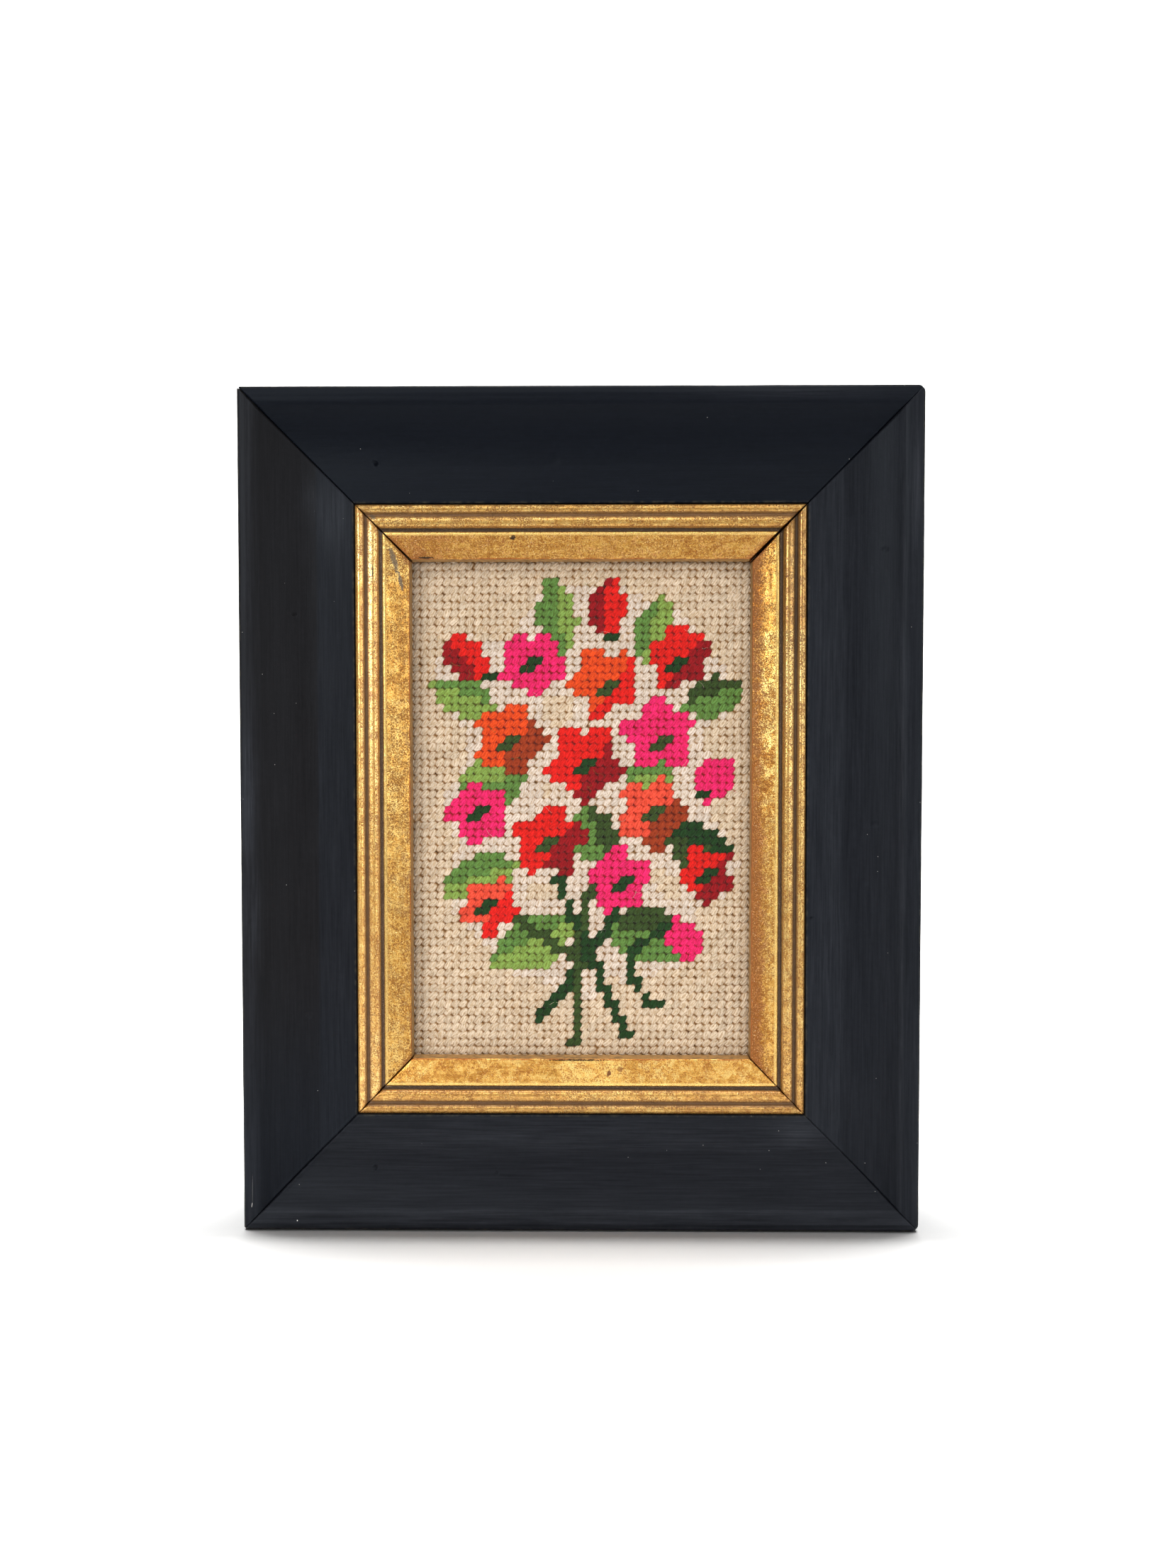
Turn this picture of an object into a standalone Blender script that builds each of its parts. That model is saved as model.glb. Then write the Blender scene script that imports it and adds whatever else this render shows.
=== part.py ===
"""Framed needlepoint: a small worked canvas in a gilt liner and a black scoop picture frame.

The frame stands upright on its bottom rail and faces -Y. X runs along its width and Z upwards.
A section is drawn across a rail as (inward, back) points: inward from the frame's outer side,
back from the frame's foremost point. Every length is in metres.
"""

import math

import bmesh
import bpy

# Driving dimensions of the face, seen from the front
SIGHT_WIDTH = 0.1104
SIGHT_HEIGHT = 0.1620
LINER_FACE = 0.0167
RAIL_FACE = 0.0352
FRAME_DEPTH = 0.0340

# Room between pieces that touch
CLEARANCE = 0.0003

# Section of the black rail
OUTER_ROUND = 0.0013
LIP_FLAT_END = 0.0044
LIP_FALL = 0.0002
ARRIS_ROUND = 0.0022
SCOOP_SLOPE = math.radians(38)
SCOOP_DEPTH = 0.0070
INNER_EASE = 0.0005
RAIL_LIP_BACK = 0.0103
RAIL_REBATE = 0.0055
BACK_EASE = 0.0008

# Section of the gilt liner, from its sight edge at the canvas out to the black rail
SIGHT_EDGE_BACK = 0.0120
SIGHT_EASE = 0.0003
LINER_LIP_BACK = 0.0170
LINER_REBATE = 0.0086
LINER_BEADS = (
    # starts, ends (inward of the black rail), foot at its start, foot at its end, crest
    (0.0003, 0.0027, 0.0080, 0.0084, 0.0070),
    (0.0041, 0.0074, 0.0086, 0.0095, 0.0081),
)
LINER_QUIRK = ((0.0076, 0.0105), (0.0088, 0.0107))
BAND_START = (0.0091, 0.0100)

# Worked canvas and the board behind it
CANVAS_THICKNESS = 0.0020
BOARD_THICKNESS = 0.0030
BOARD_EASE = 0.0004

# The outer corners are worn or filled to these radii
CORNER_ROUNDS = {
    ("left", "top"): 0.0005,
    ("right", "top"): 0.0023,
    ("right", "bottom"): 0.0023,
    ("left", "bottom"): 0.0009,
}

# Steps in the rounded parts
LIP_STEPS = 5
SCOOP_STEPS = 12
BEAD_STEPS = 8
CORNER_STEPS = 6

# Sizes worked out from the driving dimensions
FRAME_WIDTH = SIGHT_WIDTH + 2 * (LINER_FACE + RAIL_FACE)
FRAME_HEIGHT = SIGHT_HEIGHT + 2 * (LINER_FACE + RAIL_FACE)
FRONT_Y = -FRAME_DEPTH / 2
CANVAS_FRONT = LINER_LIP_BACK + CLEARANCE
LINER_BACK = CANVAS_FRONT + CANVAS_THICKNESS
BOARD_FRONT = LINER_BACK + CLEARANCE
REBATE_SIDE = RAIL_FACE - RAIL_REBATE


def clear_scene():
    for old in list(bpy.data.objects):
        bpy.data.objects.remove(old)


def finish(name, colour, roughness, metallic=0.0):
    """A plain Principled material."""
    material = bpy.data.materials.new(name)
    material.use_nodes = True
    shader = material.node_tree.nodes["Principled BSDF"]
    shader.inputs["Base Color"].default_value = (*colour, 1.0)
    shader.inputs["Roughness"].default_value = roughness
    shader.inputs["Metallic"].default_value = metallic
    return material


def arc(centre, radius, start, end, steps):
    """Points of an arc in the section, with angles in radians from inward towards back."""
    points = []
    for step in range(steps + 1):
        angle = start + (end - start) * step / steps
        points.append((centre[0] + radius * math.cos(angle), centre[1] + radius * math.sin(angle)))
    return points


def bead(start, end, foot_start, foot_end, crest):
    """Points over a rounded bead, half an ellipse set on a foot that may slope."""
    points = []
    for step in range(BEAD_STEPS + 1):
        angle = math.pi * step / BEAD_STEPS
        across = (1 - math.cos(angle)) / 2
        foot = foot_start + (foot_end - foot_start) * across
        points.append((start + (end - start) * across, foot + (crest - foot) * math.sin(angle)))
    return points


def rail_section():
    """Black rail: a rounded outer lip, a scoop that falls to a flat inner band, and a rebate."""
    outer = arc((OUTER_ROUND, OUTER_ROUND + LIP_FALL), OUTER_ROUND, math.pi, 1.5 * math.pi, LIP_STEPS)
    crest = [((OUTER_ROUND + LIP_FLAT_END) / 2, 0.0)]
    arris_centre = (LIP_FLAT_END, LIP_FALL + ARRIS_ROUND)
    arris = arc(arris_centre, ARRIS_ROUND, -0.5 * math.pi, SCOOP_SLOPE - 0.5 * math.pi, LIP_STEPS)
    top_inward, top_back = arris[-1]
    scoop_radius = (SCOOP_DEPTH - top_back) / (1 - math.cos(SCOOP_SLOPE))
    scoop_centre = (top_inward + scoop_radius * math.sin(SCOOP_SLOPE), SCOOP_DEPTH - scoop_radius)
    scoop = arc(scoop_centre, scoop_radius, 0.5 * math.pi + SCOOP_SLOPE, 0.5 * math.pi, SCOOP_STEPS)
    inner_edge = [
        (RAIL_FACE - INNER_EASE, SCOOP_DEPTH),
        (RAIL_FACE, SCOOP_DEPTH + INNER_EASE),
        (RAIL_FACE, RAIL_LIP_BACK),
        (REBATE_SIDE, RAIL_LIP_BACK),
    ]
    back = [
        (REBATE_SIDE, FRAME_DEPTH),
        (BACK_EASE, FRAME_DEPTH),
        (0.0, FRAME_DEPTH - BACK_EASE),
    ]
    return outer + crest + arris + scoop[1:] + inner_edge + back


def liner_section():
    """Gilt liner: two beads and a quirk, then a band that slopes to the sight edge."""
    flange_front = RAIL_LIP_BACK + CLEARANCE
    face = [(-RAIL_REBATE + CLEARANCE, flange_front), (LINER_BEADS[0][0], flange_front)]
    for sizes in LINER_BEADS:
        face += bead(*sizes)
    face += [*LINER_QUIRK, BAND_START]
    face += [
        (LINER_FACE - SIGHT_EASE, SIGHT_EDGE_BACK),
        (LINER_FACE, SIGHT_EDGE_BACK + SIGHT_EASE),
        (LINER_FACE, LINER_LIP_BACK),
        (LINER_FACE - LINER_REBATE, LINER_LIP_BACK),
        (LINER_FACE - LINER_REBATE, LINER_BACK),
        (-RAIL_REBATE + CLEARANCE, LINER_BACK),
    ]
    return [(RAIL_FACE + inward, back) for inward, back in face]


def mesh_object(name, bm, material):
    """An object of a closed mesh, faces out, smooth where it is round."""
    bmesh.ops.recalc_face_normals(bm, faces=bm.faces)
    mesh = bpy.data.meshes.new(name)
    bm.to_mesh(mesh)
    bm.free()
    mesh.materials.append(material)
    mesh.shade_smooth()
    mesh.set_sharp_from_angle(angle=math.radians(30))
    thing = bpy.data.objects.new(name, mesh)
    bpy.context.scene.collection.objects.link(thing)
    return thing


def mitred_length(name, section, length, material):
    """A length of moulding along X with both ends cut at 45 degrees, its outer side on Z = 0."""
    bm = bmesh.new()
    setback = CLEARANCE / math.sqrt(2)
    ends = []
    for side in (-1, 1):
        ring = []
        for inward, back in section:
            along = side * (length / 2 - inward - setback)
            ring.append(bm.verts.new((along, FRONT_Y + back, inward)))
        ends.append(ring)
    first, last = ends
    for index in range(len(section)):
        after = (index + 1) % len(section)
        bm.faces.new((first[index], first[after], last[after], last[index]))
    bm.faces.new(first)
    bm.faces.new(reversed(last))
    return mesh_object(name, bm, material)


def moulding_frame(prefix, section, material, centre):
    """Four mitred lengths around the opening, turned about the frame's centre."""
    sides = (
        # name, length, turn about Y, place across and up
        ("bottom", FRAME_WIDTH, 0.0, (0.0, 0.0)),
        ("right", FRAME_HEIGHT, -90.0, (FRAME_WIDTH / 2, FRAME_HEIGHT / 2)),
        ("top", FRAME_WIDTH, 180.0, (0.0, FRAME_HEIGHT)),
        ("left", FRAME_HEIGHT, 90.0, (-FRAME_WIDTH / 2, FRAME_HEIGHT / 2)),
    )
    lengths = []
    for side, length, turn, (across, up) in sides:
        piece = mitred_length(f"{prefix}_{side}", section, length, material)
        piece.parent = centre
        piece.location = (across, 0.0, up)
        piece.rotation_euler = (0.0, math.radians(turn), 0.0)
        lengths.append(piece)
    return lengths


def corner_cutter():
    """What the rounded outer corners lack: a prism outside the arc of each."""
    bm = bmesh.new()
    reach = FRAME_DEPTH
    for (side, level), radius in CORNER_ROUNDS.items():
        across = -1 if side == "left" else 1
        up = -1 if level == "bottom" else 1
        outline = [(-reach, radius), (-reach, -reach), (radius, -reach)]
        outline += arc((radius, radius), radius, 1.5 * math.pi, math.pi, CORNER_STEPS)
        rings = []
        for back in (FRONT_Y - reach, -FRONT_Y + reach):
            ring = []
            for inward, rise in outline:
                corner_x = across * (FRAME_WIDTH / 2 - inward)
                corner_z = FRAME_HEIGHT / 2 + up * (FRAME_HEIGHT / 2 - rise)
                ring.append(bm.verts.new((corner_x, back, corner_z)))
            rings.append(ring)
        near, far = rings
        for index in range(len(outline)):
            after = (index + 1) % len(outline)
            bm.faces.new((near[index], near[after], far[after], far[index]))
        bm.faces.new(near)
        bm.faces.new(reversed(far))
    cutter = mesh_object("corner_cutter", bm, None)
    cutter.hide_render = True
    cutter.display_type = "WIRE"
    return cutter


def flat_panel(name, margin, front, thickness, material, centre):
    """A flat upright sheet that fills the frame to a margin inside its outer sides."""
    bm = bmesh.new()
    bmesh.ops.create_cube(bm, size=1.0)
    size = (FRAME_WIDTH - 2 * margin, thickness, FRAME_HEIGHT - 2 * margin)
    bmesh.ops.scale(bm, vec=size, verts=bm.verts)
    panel = mesh_object(name, bm, material)
    panel.parent = centre
    panel.location = (0.0, FRONT_Y + front + thickness / 2, FRAME_HEIGHT / 2)
    ease = panel.modifiers.new("eased edges", "BEVEL")
    ease.width = BOARD_EASE
    ease.segments = 2
    return panel


def build():
    clear_scene()
    black = finish("black_paint", (0.014, 0.016, 0.020), 0.42)
    gilt = finish("gilt", (0.62, 0.38, 0.13), 0.38, 0.85)
    wool = finish("wool", (0.62, 0.49, 0.33), 0.95)
    card = finish("backing_card", (0.33, 0.24, 0.15), 0.85)

    centre = bpy.data.objects.new("frame_centre", None)
    bpy.context.scene.collection.objects.link(centre)

    rails = moulding_frame("frame", rail_section(), black, centre)
    cutter = corner_cutter()
    for rail in rails:
        cut = rail.modifiers.new("rounded corners", "BOOLEAN")
        cut.operation = "DIFFERENCE"
        cut.solver = "EXACT"
        cut.object = cutter
    moulding_frame("liner", liner_section(), gilt, centre)

    canvas_margin = RAIL_FACE + LINER_FACE - LINER_REBATE + CLEARANCE
    flat_panel("needlepoint", canvas_margin, CANVAS_FRONT, CANVAS_THICKNESS, wool, centre)
    board_margin = REBATE_SIDE + CLEARANCE
    flat_panel("backing_board", board_margin, BOARD_FRONT, BOARD_THICKNESS, card, centre)


build()
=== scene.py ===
"""Framed needlepoint: the finish of every surface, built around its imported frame.

The frame stands on its bottom rail and faces -Y. Lengths are in metres unless a name says
otherwise. On a length of moulding, "along" runs along the rail from its middle and "inward"
runs from the moulding's outer side towards the picture; "back" is the depth behind the
foremost point. The needlepoint's chart counts columns from the left and rows from the top.
"""

import math
import random

import bmesh
import bpy
from bpy.props import FloatProperty, FloatVectorProperty, IntProperty, PointerProperty
from mathutils import Matrix, Vector, noise


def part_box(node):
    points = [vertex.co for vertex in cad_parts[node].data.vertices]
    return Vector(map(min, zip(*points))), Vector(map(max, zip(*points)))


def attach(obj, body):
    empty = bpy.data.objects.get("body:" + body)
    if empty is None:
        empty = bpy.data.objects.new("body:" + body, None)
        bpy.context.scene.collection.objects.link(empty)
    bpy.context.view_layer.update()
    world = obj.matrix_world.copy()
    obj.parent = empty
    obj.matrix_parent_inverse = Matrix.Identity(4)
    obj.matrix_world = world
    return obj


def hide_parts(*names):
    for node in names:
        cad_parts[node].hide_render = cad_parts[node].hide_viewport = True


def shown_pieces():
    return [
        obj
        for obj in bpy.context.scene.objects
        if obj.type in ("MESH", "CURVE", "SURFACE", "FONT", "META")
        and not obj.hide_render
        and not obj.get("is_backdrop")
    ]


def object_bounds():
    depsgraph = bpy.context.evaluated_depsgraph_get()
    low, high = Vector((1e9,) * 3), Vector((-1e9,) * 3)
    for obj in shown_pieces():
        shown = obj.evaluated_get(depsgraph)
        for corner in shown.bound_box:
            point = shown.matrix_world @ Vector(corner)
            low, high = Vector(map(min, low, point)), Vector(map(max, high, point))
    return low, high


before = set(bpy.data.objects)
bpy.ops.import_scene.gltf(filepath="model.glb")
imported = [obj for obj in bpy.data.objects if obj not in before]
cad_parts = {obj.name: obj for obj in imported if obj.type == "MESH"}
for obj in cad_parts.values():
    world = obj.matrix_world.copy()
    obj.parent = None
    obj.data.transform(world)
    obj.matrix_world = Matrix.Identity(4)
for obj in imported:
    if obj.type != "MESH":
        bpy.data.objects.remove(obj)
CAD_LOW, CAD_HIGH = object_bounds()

bl_info = {
    "name": "Framed Needlepoint",
    "version": (1, 0, 0),
    "blender": (4, 5, 0),
    "location": "3D View > Sidebar > Needlepoint",
    "description": "Dresses a framed needlepoint with paint, gold leaf and wool stitches",
    "category": "Object",
}

BODY = "root"
MM = 0.001

# Sizes read from the frame
FRAME_WIDTH = CAD_HIGH.x - CAD_LOW.x
FRAME_HEIGHT = CAD_HIGH.z - CAD_LOW.z
FRONT_Y = CAD_LOW.y
FRAME_DEPTH = CAD_HIGH.y - CAD_LOW.y
RAIL_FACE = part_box("frame_bottom")[1].z
LINER_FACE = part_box("liner_bottom")[1].z - RAIL_FACE
CANVAS_LOW, CANVAS_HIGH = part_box("needlepoint")
CANVAS_WIDTH = CANVAS_HIGH.x - CANVAS_LOW.x
CANVAS_HEIGHT = CANVAS_HIGH.z - CANVAS_LOW.z
SIGHT_WIDTH = FRAME_WIDTH - 2 * (RAIL_FACE + LINER_FACE)
SIGHT_HEIGHT = FRAME_HEIGHT - 2 * (RAIL_FACE + LINER_FACE)

# Section of the black rail
OUTER_ROUND = 0.0013
LIP_FLAT_END = 0.0036
LIP_FALL = 0.0002
ARRIS_ROUND = 0.0045
SCOOP_SLOPE = math.radians(38)
SCOOP_DEPTH = 0.0070
INNER_EASE = 0.0003
INNER_WALL = RAIL_FACE - 0.00025
RAIL_LIP_BACK = 0.0103
RAIL_REBATE = 0.0055
BACK_EASE = 0.0008

# Section of the gilt liner, inward of the black rail
CLEARANCE = 0.0003
SIGHT_EDGE_BACK = 0.0120
LINER_LIP_BACK = 0.0170
LINER_REBATE = 0.0086
LINER_BACK = 0.0193
LINER_BEADS = (
    # starts, ends (inward of the black rail), foot at its start, foot at its end, crest
    (-0.00005, 0.0030, 0.0080, 0.0085, 0.0070),
    (0.0035, 0.0073, 0.0086, 0.0096, 0.0081),
)
BEAD_FLARE = 1.4
LINER_QUIRK = ((0.0075, 0.0104), (0.0080, 0.0106))
BAND_SHOULDER = ((0.0082, 0.0102), (0.0085, 0.0099), (0.0091, 0.0098), (0.0098, 0.0100))
LINER_EASE = 0.00032

# Steps of the mesh in rounded parts, along the rails' plain sides, and how much finer the
# liner's face is than the rails'
ROUND_STEPS = 6
SCOOP_STEPS = 40
BEAD_STEPS = 12
EASE_STEPS = 3
SIDE_STEP = 0.003
LINER_FINENESS = 0.8

# Least turn of a corner that is rounded, and most of a straight piece that its round takes up
LEAST_CORNER = math.radians(18)
MOST_CUT = 0.45

# Stations close to a mitre, and the step of the mesh near a dent and how far that reaches
END_STATIONS = (0.0, 0.00012, 0.00035, 0.0007, 0.0011, 0.0016, 0.0022, 0.0030)
DENT_STEP = 0.0003
DENT_REACH = 0.0024

# Rim pushed up round a dent: its height as a share of the dent's depth, and in radii of the dent
# its middle and reach, and where it ends
DENT_RIM = 0.12
DENT_RIM_PLACE = (1.15, 0.25)
DENT_END = 1.6

# Cracks at the black mitres: their depth, where they change from the lip's width to that inside
# it, and the least they open
CRACK_DEPTH = 0.0007
CRACK_CHANGE = (0.005, 0.009)
LEAST_CRACK = 0.00003

# Cracks at the gilt mitres: how ragged they are, and the least they open
LEAF_CRACK_ROUGHNESS = 0.00007
LEAST_LEAF_CRACK = 0.00008

# Ridge of paint beside a crack: its middle and reach from the mitre, and where across the rail
# it grows
RIDGE_PLACE = (0.0007, 0.0006)
RIDGE_GROWTH = (0.006, 0.011)

# Unevenness of a face: share of the waviness, waves per metre along and across, and a phase
PAINT_WAVES = ((1.0, 55, 190, 0), (0.45, 160, 800, 5))
LEAF_WAVES = ((1.0, 130, 300, 0), (0.6, 420, 900, 5))

# How far a face falls where it is rubbed at a mitre, and over what length
PAINT_FALL = (0.00016, 0.00030)
LEAF_FALL = (0.00012, 0.00025)

# Each side's turn about Y from the bottom rail, and the corners where it starts and ends
SIDES = {
    "bottom": (0, "bottom_left", "bottom_right"),
    "right": (-90, "bottom_right", "top_right"),
    "top": (180, "top_right", "top_left"),
    "left": (90, "top_left", "bottom_left"),
}

CORNERS = {
    # round, black crack at the lip and inside it, its roughness, gilt crack outside and inside,
    # and the ridge of paint beside the black crack
    "top_left": (0.0005, 0.00070, 0.00034, 0.00004, 0.00034, 0.00060, 0.00003),
    "top_right": (0.0023, 0.00003, 0.00042, 0.00010, 0.00055, 0.00110, 0.00003),
    "bottom_right": (0.0023, 0.00004, 0.00012, 0.00012, 0.00024, 0.00034, 0.00008),
    "bottom_left": (0.0009, 0.00022, 0.00024, 0.00030, 0.00034, 0.00042, 0.00022),
}

DENTS = (
    # rail, across from the middle, up from the foot, radius, depth
    ("top", -0.0649, 0.2434, 0.00085, 0.00070),
    ("top", -0.0084, 0.2443, 0.00230, 0.00016),
    ("left", -0.0909, 0.1955, 0.00075, 0.00060),
    ("left", -0.0875, 0.0671, 0.00130, 0.00025),
    ("right", 0.0739, 0.0989, 0.00060, 0.00060),
    ("right", 0.0957, 0.2155, 0.00110, 0.00016),
    ("right", 0.0934, 0.1290, 0.00120, 0.00022),
    ("right", 0.0905, 0.1105, 0.00150, 0.00018),
    ("bottom", -0.0662, 0.0179, 0.00085, 0.00065),
    ("bottom", -0.0270, 0.0163, 0.00070, 0.00040),
)

SIDE_WEAR_AND_LIGHT = {
    # how grey the paint is on the lip, the arris, the scoop and the flat inner band: partly wear,
    # partly painted sheen and light, lighter on the flat band, on the arris and on the bottom and
    # right rails, which face the light, and darkest on the top rail, which faces down
    "bottom": (0.52, 0.62, 0.24, 0.40),
    "right": (0.30, 0.60, 0.26, 0.48),
    "top": (0.04, 0.02, 0.00, 0.04),
    "left": (0.36, 0.20, 0.12, 0.26),
}

SIDE_FADE = {
    # how brown the paint has gone on the scoop and on the flat inner band
    "bottom": (0.45, 0.45),
    "right": (0.30, 0.20),
    "top": (0.10, 0.10),
    "left": (1.00, 0.40),
}

WORN_PLACES = (
    # rail, across from the middle, up from the foot, reach across, reach up, strength
    ("left", -0.1050, 0.1370, 0.0028, 0.0190, 0.75),
    ("left", -0.1035, 0.1010, 0.0022, 0.0110, 0.40),
    ("left", -0.0780, 0.2270, 0.0050, 0.0100, 0.60),
    ("left", -0.0860, 0.2320, 0.0030, 0.0060, 0.30),
    ("top", 0.0640, 0.2640, 0.0300, 0.0022, 0.35),
    ("right", 0.1040, 0.2330, 0.0016, 0.0180, 0.55),
    ("right", 0.1010, 0.1500, 0.0016, 0.0400, 0.25),
    ("bottom", 0.0690, 0.0300, 0.0060, 0.0040, 0.50),
    ("bottom", -0.0200, 0.0280, 0.0260, 0.0045, 0.16),
)

# Needlepoint chart: what shows, with hidden stitches and then bare canvas all round
COLUMNS = 44
ROWS = 63
HIDDEN = 1
BARE = 2

BLOSSOMS = (
    # column, row, radius, turn in degrees, light yarn, dark yarn, eye
    (22.0, 25.0, 5.4, 18, "red", "crimson", "pine"),
    (31.6, 21.5, 5.0, 50, "pink", "pink", "moss"),
    (12.2, 22.0, 5.0, 0, "orange", "rust", "moss"),
    (24.6, 14.6, 4.9, 30, "orange", "red", "moss"),
    (15.2, 12.4, 4.6, 12, "pink", "pink", "pine"),
    (34.4, 11.6, 4.4, 44, "red", "crimson", "pine"),
    (30.8, 31.4, 4.9, 5, "coral", "rust", "moss"),
    (17.4, 35.0, 5.0, 60, "red", "crimson", "moss"),
    (8.2, 31.4, 4.5, 36, "pink", "pink", "pine"),
    (26.6, 40.0, 4.6, 48, "pink", "pink", "pine"),
    (38.0, 39.2, 4.0, 25, "red", "crimson", "pine"),
    (9.4, 43.4, 4.1, 15, "coral", "red", "pine"),
)
BUDS = (
    # column, row, half length, half width, lean in degrees, light yarn, dark yarn
    (25.0, 5.2, 3.4, 2.4, 8, "red", "crimson"),
    (6.4, 11.6, 3.3, 2.3, -40, "red", "crimson"),
    (39.0, 27.2, 3.3, 2.4, 48, "pink", "pink"),
    (35.0, 47.6, 3.2, 2.3, 125, "pink", "pink"),
)
LEAVES = (
    # column and row of the root, length, width, heading clockwise from up, light yarn, dark yarn
    (19.0, 11.0, 10.0, 5.2, -8, "leaf", "lime"),
    (30.0, 12.0, 9.0, 5.0, 14, "lime", "leaf"),
    (35.0, 18.0, 8.5, 5.4, 70, "leaf", "moss"),
    (10.0, 18.0, 9.0, 5.0, -70, "lime", "leaf"),
    (27.0, 27.5, 7.0, 5.4, 80, "lime", "leaf"),
    (14.0, 27.0, 9.0, 6.4, -96, "leaf", "lime"),
    (22.0, 31.0, 8.0, 6.0, 160, "leaf", "moss"),
    (33.0, 34.5, 9.0, 6.0, 108, "moss", "pine"),
    (13.0, 38.0, 10.5, 5.6, -110, "lime", "leaf"),
    (25.5, 46.0, 12.0, 7.4, 104, "leaf", "moss"),
    (20.0, 45.5, 12.0, 7.0, -118, "lime", "leaf"),
)
STEMS = (
    # start, bend and end as (column, row), yarn
    ((18.5, 40.0), (21.0, 46.0), (27.5, 60.0), "pine"),
    ((26.0, 44.0), (23.0, 50.0), (15.5, 58.5), "pine"),
    ((23.0, 40.0), (20.5, 48.0), (20.5, 61.0), "moss"),
    ((33.5, 46.0), (23.5, 50.0), (31.5, 56.5), "pine"),
    ((13.0, 45.0), (20.0, 50.0), (22.5, 51.0), "moss"),
)
PETALS = 5
PETAL_LOBE = 0.15
STEM_STEPS = 80

# Side of a blossom that is darker, and how far off the middle of a form its dark side starts: a
# share of a blossom's radius, and stitches for a leaf and a bud
DARK_SIDE = (0.80, 0.60)
BLOSSOM_DARK = 0.20
LEAF_DARK = 0.3
BUD_DARK = 0.4
EYE = ((0, 0), (1, 0), (0, 1), (-1, 1))

# How far around a ground stitch is looked at, and from how many worked stitches it is paler
GROUND_REACH = 3
GROUND_CROWD = 17

YARNS = {
    # colour of the wool in linear light
    "cream": (0.70, 0.565, 0.415),
    "ivory": (0.73, 0.620, 0.525),
    "pink": (0.84, 0.020, 0.150),
    "red": (0.76, 0.014, 0.010),
    "crimson": (0.30, 0.007, 0.011),
    "coral": (0.86, 0.085, 0.045),
    "orange": (0.80, 0.075, 0.012),
    "rust": (0.34, 0.045, 0.012),
    "lime": (0.24, 0.38, 0.080),
    "leaf": (0.120, 0.25, 0.055),
    "moss": (0.040, 0.075, 0.018),
    "pine": (0.014, 0.050, 0.012),
}


class NodeBuilder:
    """Adds nodes to a tree. Sockets are found by identifier, or by name where that is unique."""

    def __init__(self, tree):
        self.tree = tree

    def node(self, kind, settings=None, inputs=None):
        """A node of a kind: its settings are made first, and then its sockets are set or linked."""
        made = self.tree.nodes.new(kind)
        for name, setting in (settings or {}).items():
            if name == "stops":
                self.set_stops(made.color_ramp, setting)
            else:
                setattr(made, name, setting)
        for name, given in (inputs or {}).items():
            self.feed(self.find(made.inputs, name), given)
        return made

    def feed(self, socket, given):
        """Links a socket to what is given, or sets it."""
        if isinstance(given, Value):
            given = given.socket
        if isinstance(given, bpy.types.NodeSocket):
            self.tree.links.new(given, socket)
        else:
            socket.default_value = given

    @staticmethod
    def find(sockets, name):
        enabled = [socket for socket in sockets if socket.enabled]
        for socket in enabled:
            if name == socket.identifier:
                return socket
        for socket in enabled:
            if name == socket.name:
                return socket
        raise KeyError(name)

    @staticmethod
    def set_stops(ramp, stops):
        while len(ramp.elements) < len(stops):
            ramp.elements.new(1.0)
        for element, (position, colour) in zip(ramp.elements, stops):
            element.position = position
            element.color = (*colour, 1.0)

    def value(self, socket):
        return Value(self, socket)

    def math(self, operation, *operands):
        sockets = ("Value", "Value_001", "Value_002")
        made = self.node("ShaderNodeMath", {"operation": operation}, dict(zip(sockets, operands)))
        return self.value(made.outputs[0])

    def clamp(self, given):
        """A value kept from 0 to 1."""
        return self.value(self.node("ShaderNodeClamp", None, {"Value": given}).outputs[0])

    def smooth(self, given, low, high):
        """0 up to low, 1 from high on, and a smooth step between. Low may be above high."""
        settings = {"interpolation_type": "SMOOTHSTEP"}
        inputs = {"Value": given, "From Min": low, "From Max": high}
        return self.value(self.node("ShaderNodeMapRange", settings, inputs).outputs[0])

    def near(self, given, middle, low, high):
        """A smooth step in how far a value lies from a middle."""
        return self.smooth(self.math("ABSOLUTE", given - middle), low, high)

    def blend(self, factor, first, second):
        """A colour between two colours."""
        inputs = {"Factor_Float": factor, "A_Color": opaque(first), "B_Color": opaque(second)}
        made = self.node("ShaderNodeMix", {"data_type": "RGBA"}, inputs)
        return self.find(made.outputs, "Result_Color")

    def tint(self, colour, strength):
        """A colour made lighter or darker by a value about 1."""
        inputs = {"Vector": colour, "Scale": strength}
        return self.node("ShaderNodeVectorMath", {"operation": "SCALE"}, inputs).outputs[0]

    def vector(self, operation, first, second):
        inputs = {"Vector": first, "Vector_001": second}
        return self.node("ShaderNodeVectorMath", {"operation": operation}, inputs).outputs[0]

    def noise(self, place, scale, detail=2.0, roughness=0.5, distortion=0.0):
        """A value about 0.5 that wanders with the place."""
        inputs = {
            "Vector": place,
            "Scale": scale,
            "Detail": detail,
            "Roughness": roughness,
            "Distortion": distortion,
        }
        return self.value(self.node("ShaderNodeTexNoise", None, inputs).outputs["Fac"])

    def specks(self, place, scale, share, radius):
        """1 in small round specks, on that share of the cells of a random pattern."""
        inputs = {"Vector": place, "Scale": scale}
        cells = self.node("ShaderNodeTexVoronoi", {"feature": "F1"}, inputs)
        parts = self.node("ShaderNodeSeparateColor", None, {"Color": cells.outputs["Color"]})
        chosen = self.math("LESS_THAN", self.value(parts.outputs[0]), share)
        near = self.smooth(self.value(cells.outputs["Distance"]), radius, radius * 0.6)
        return chosen * near


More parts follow.
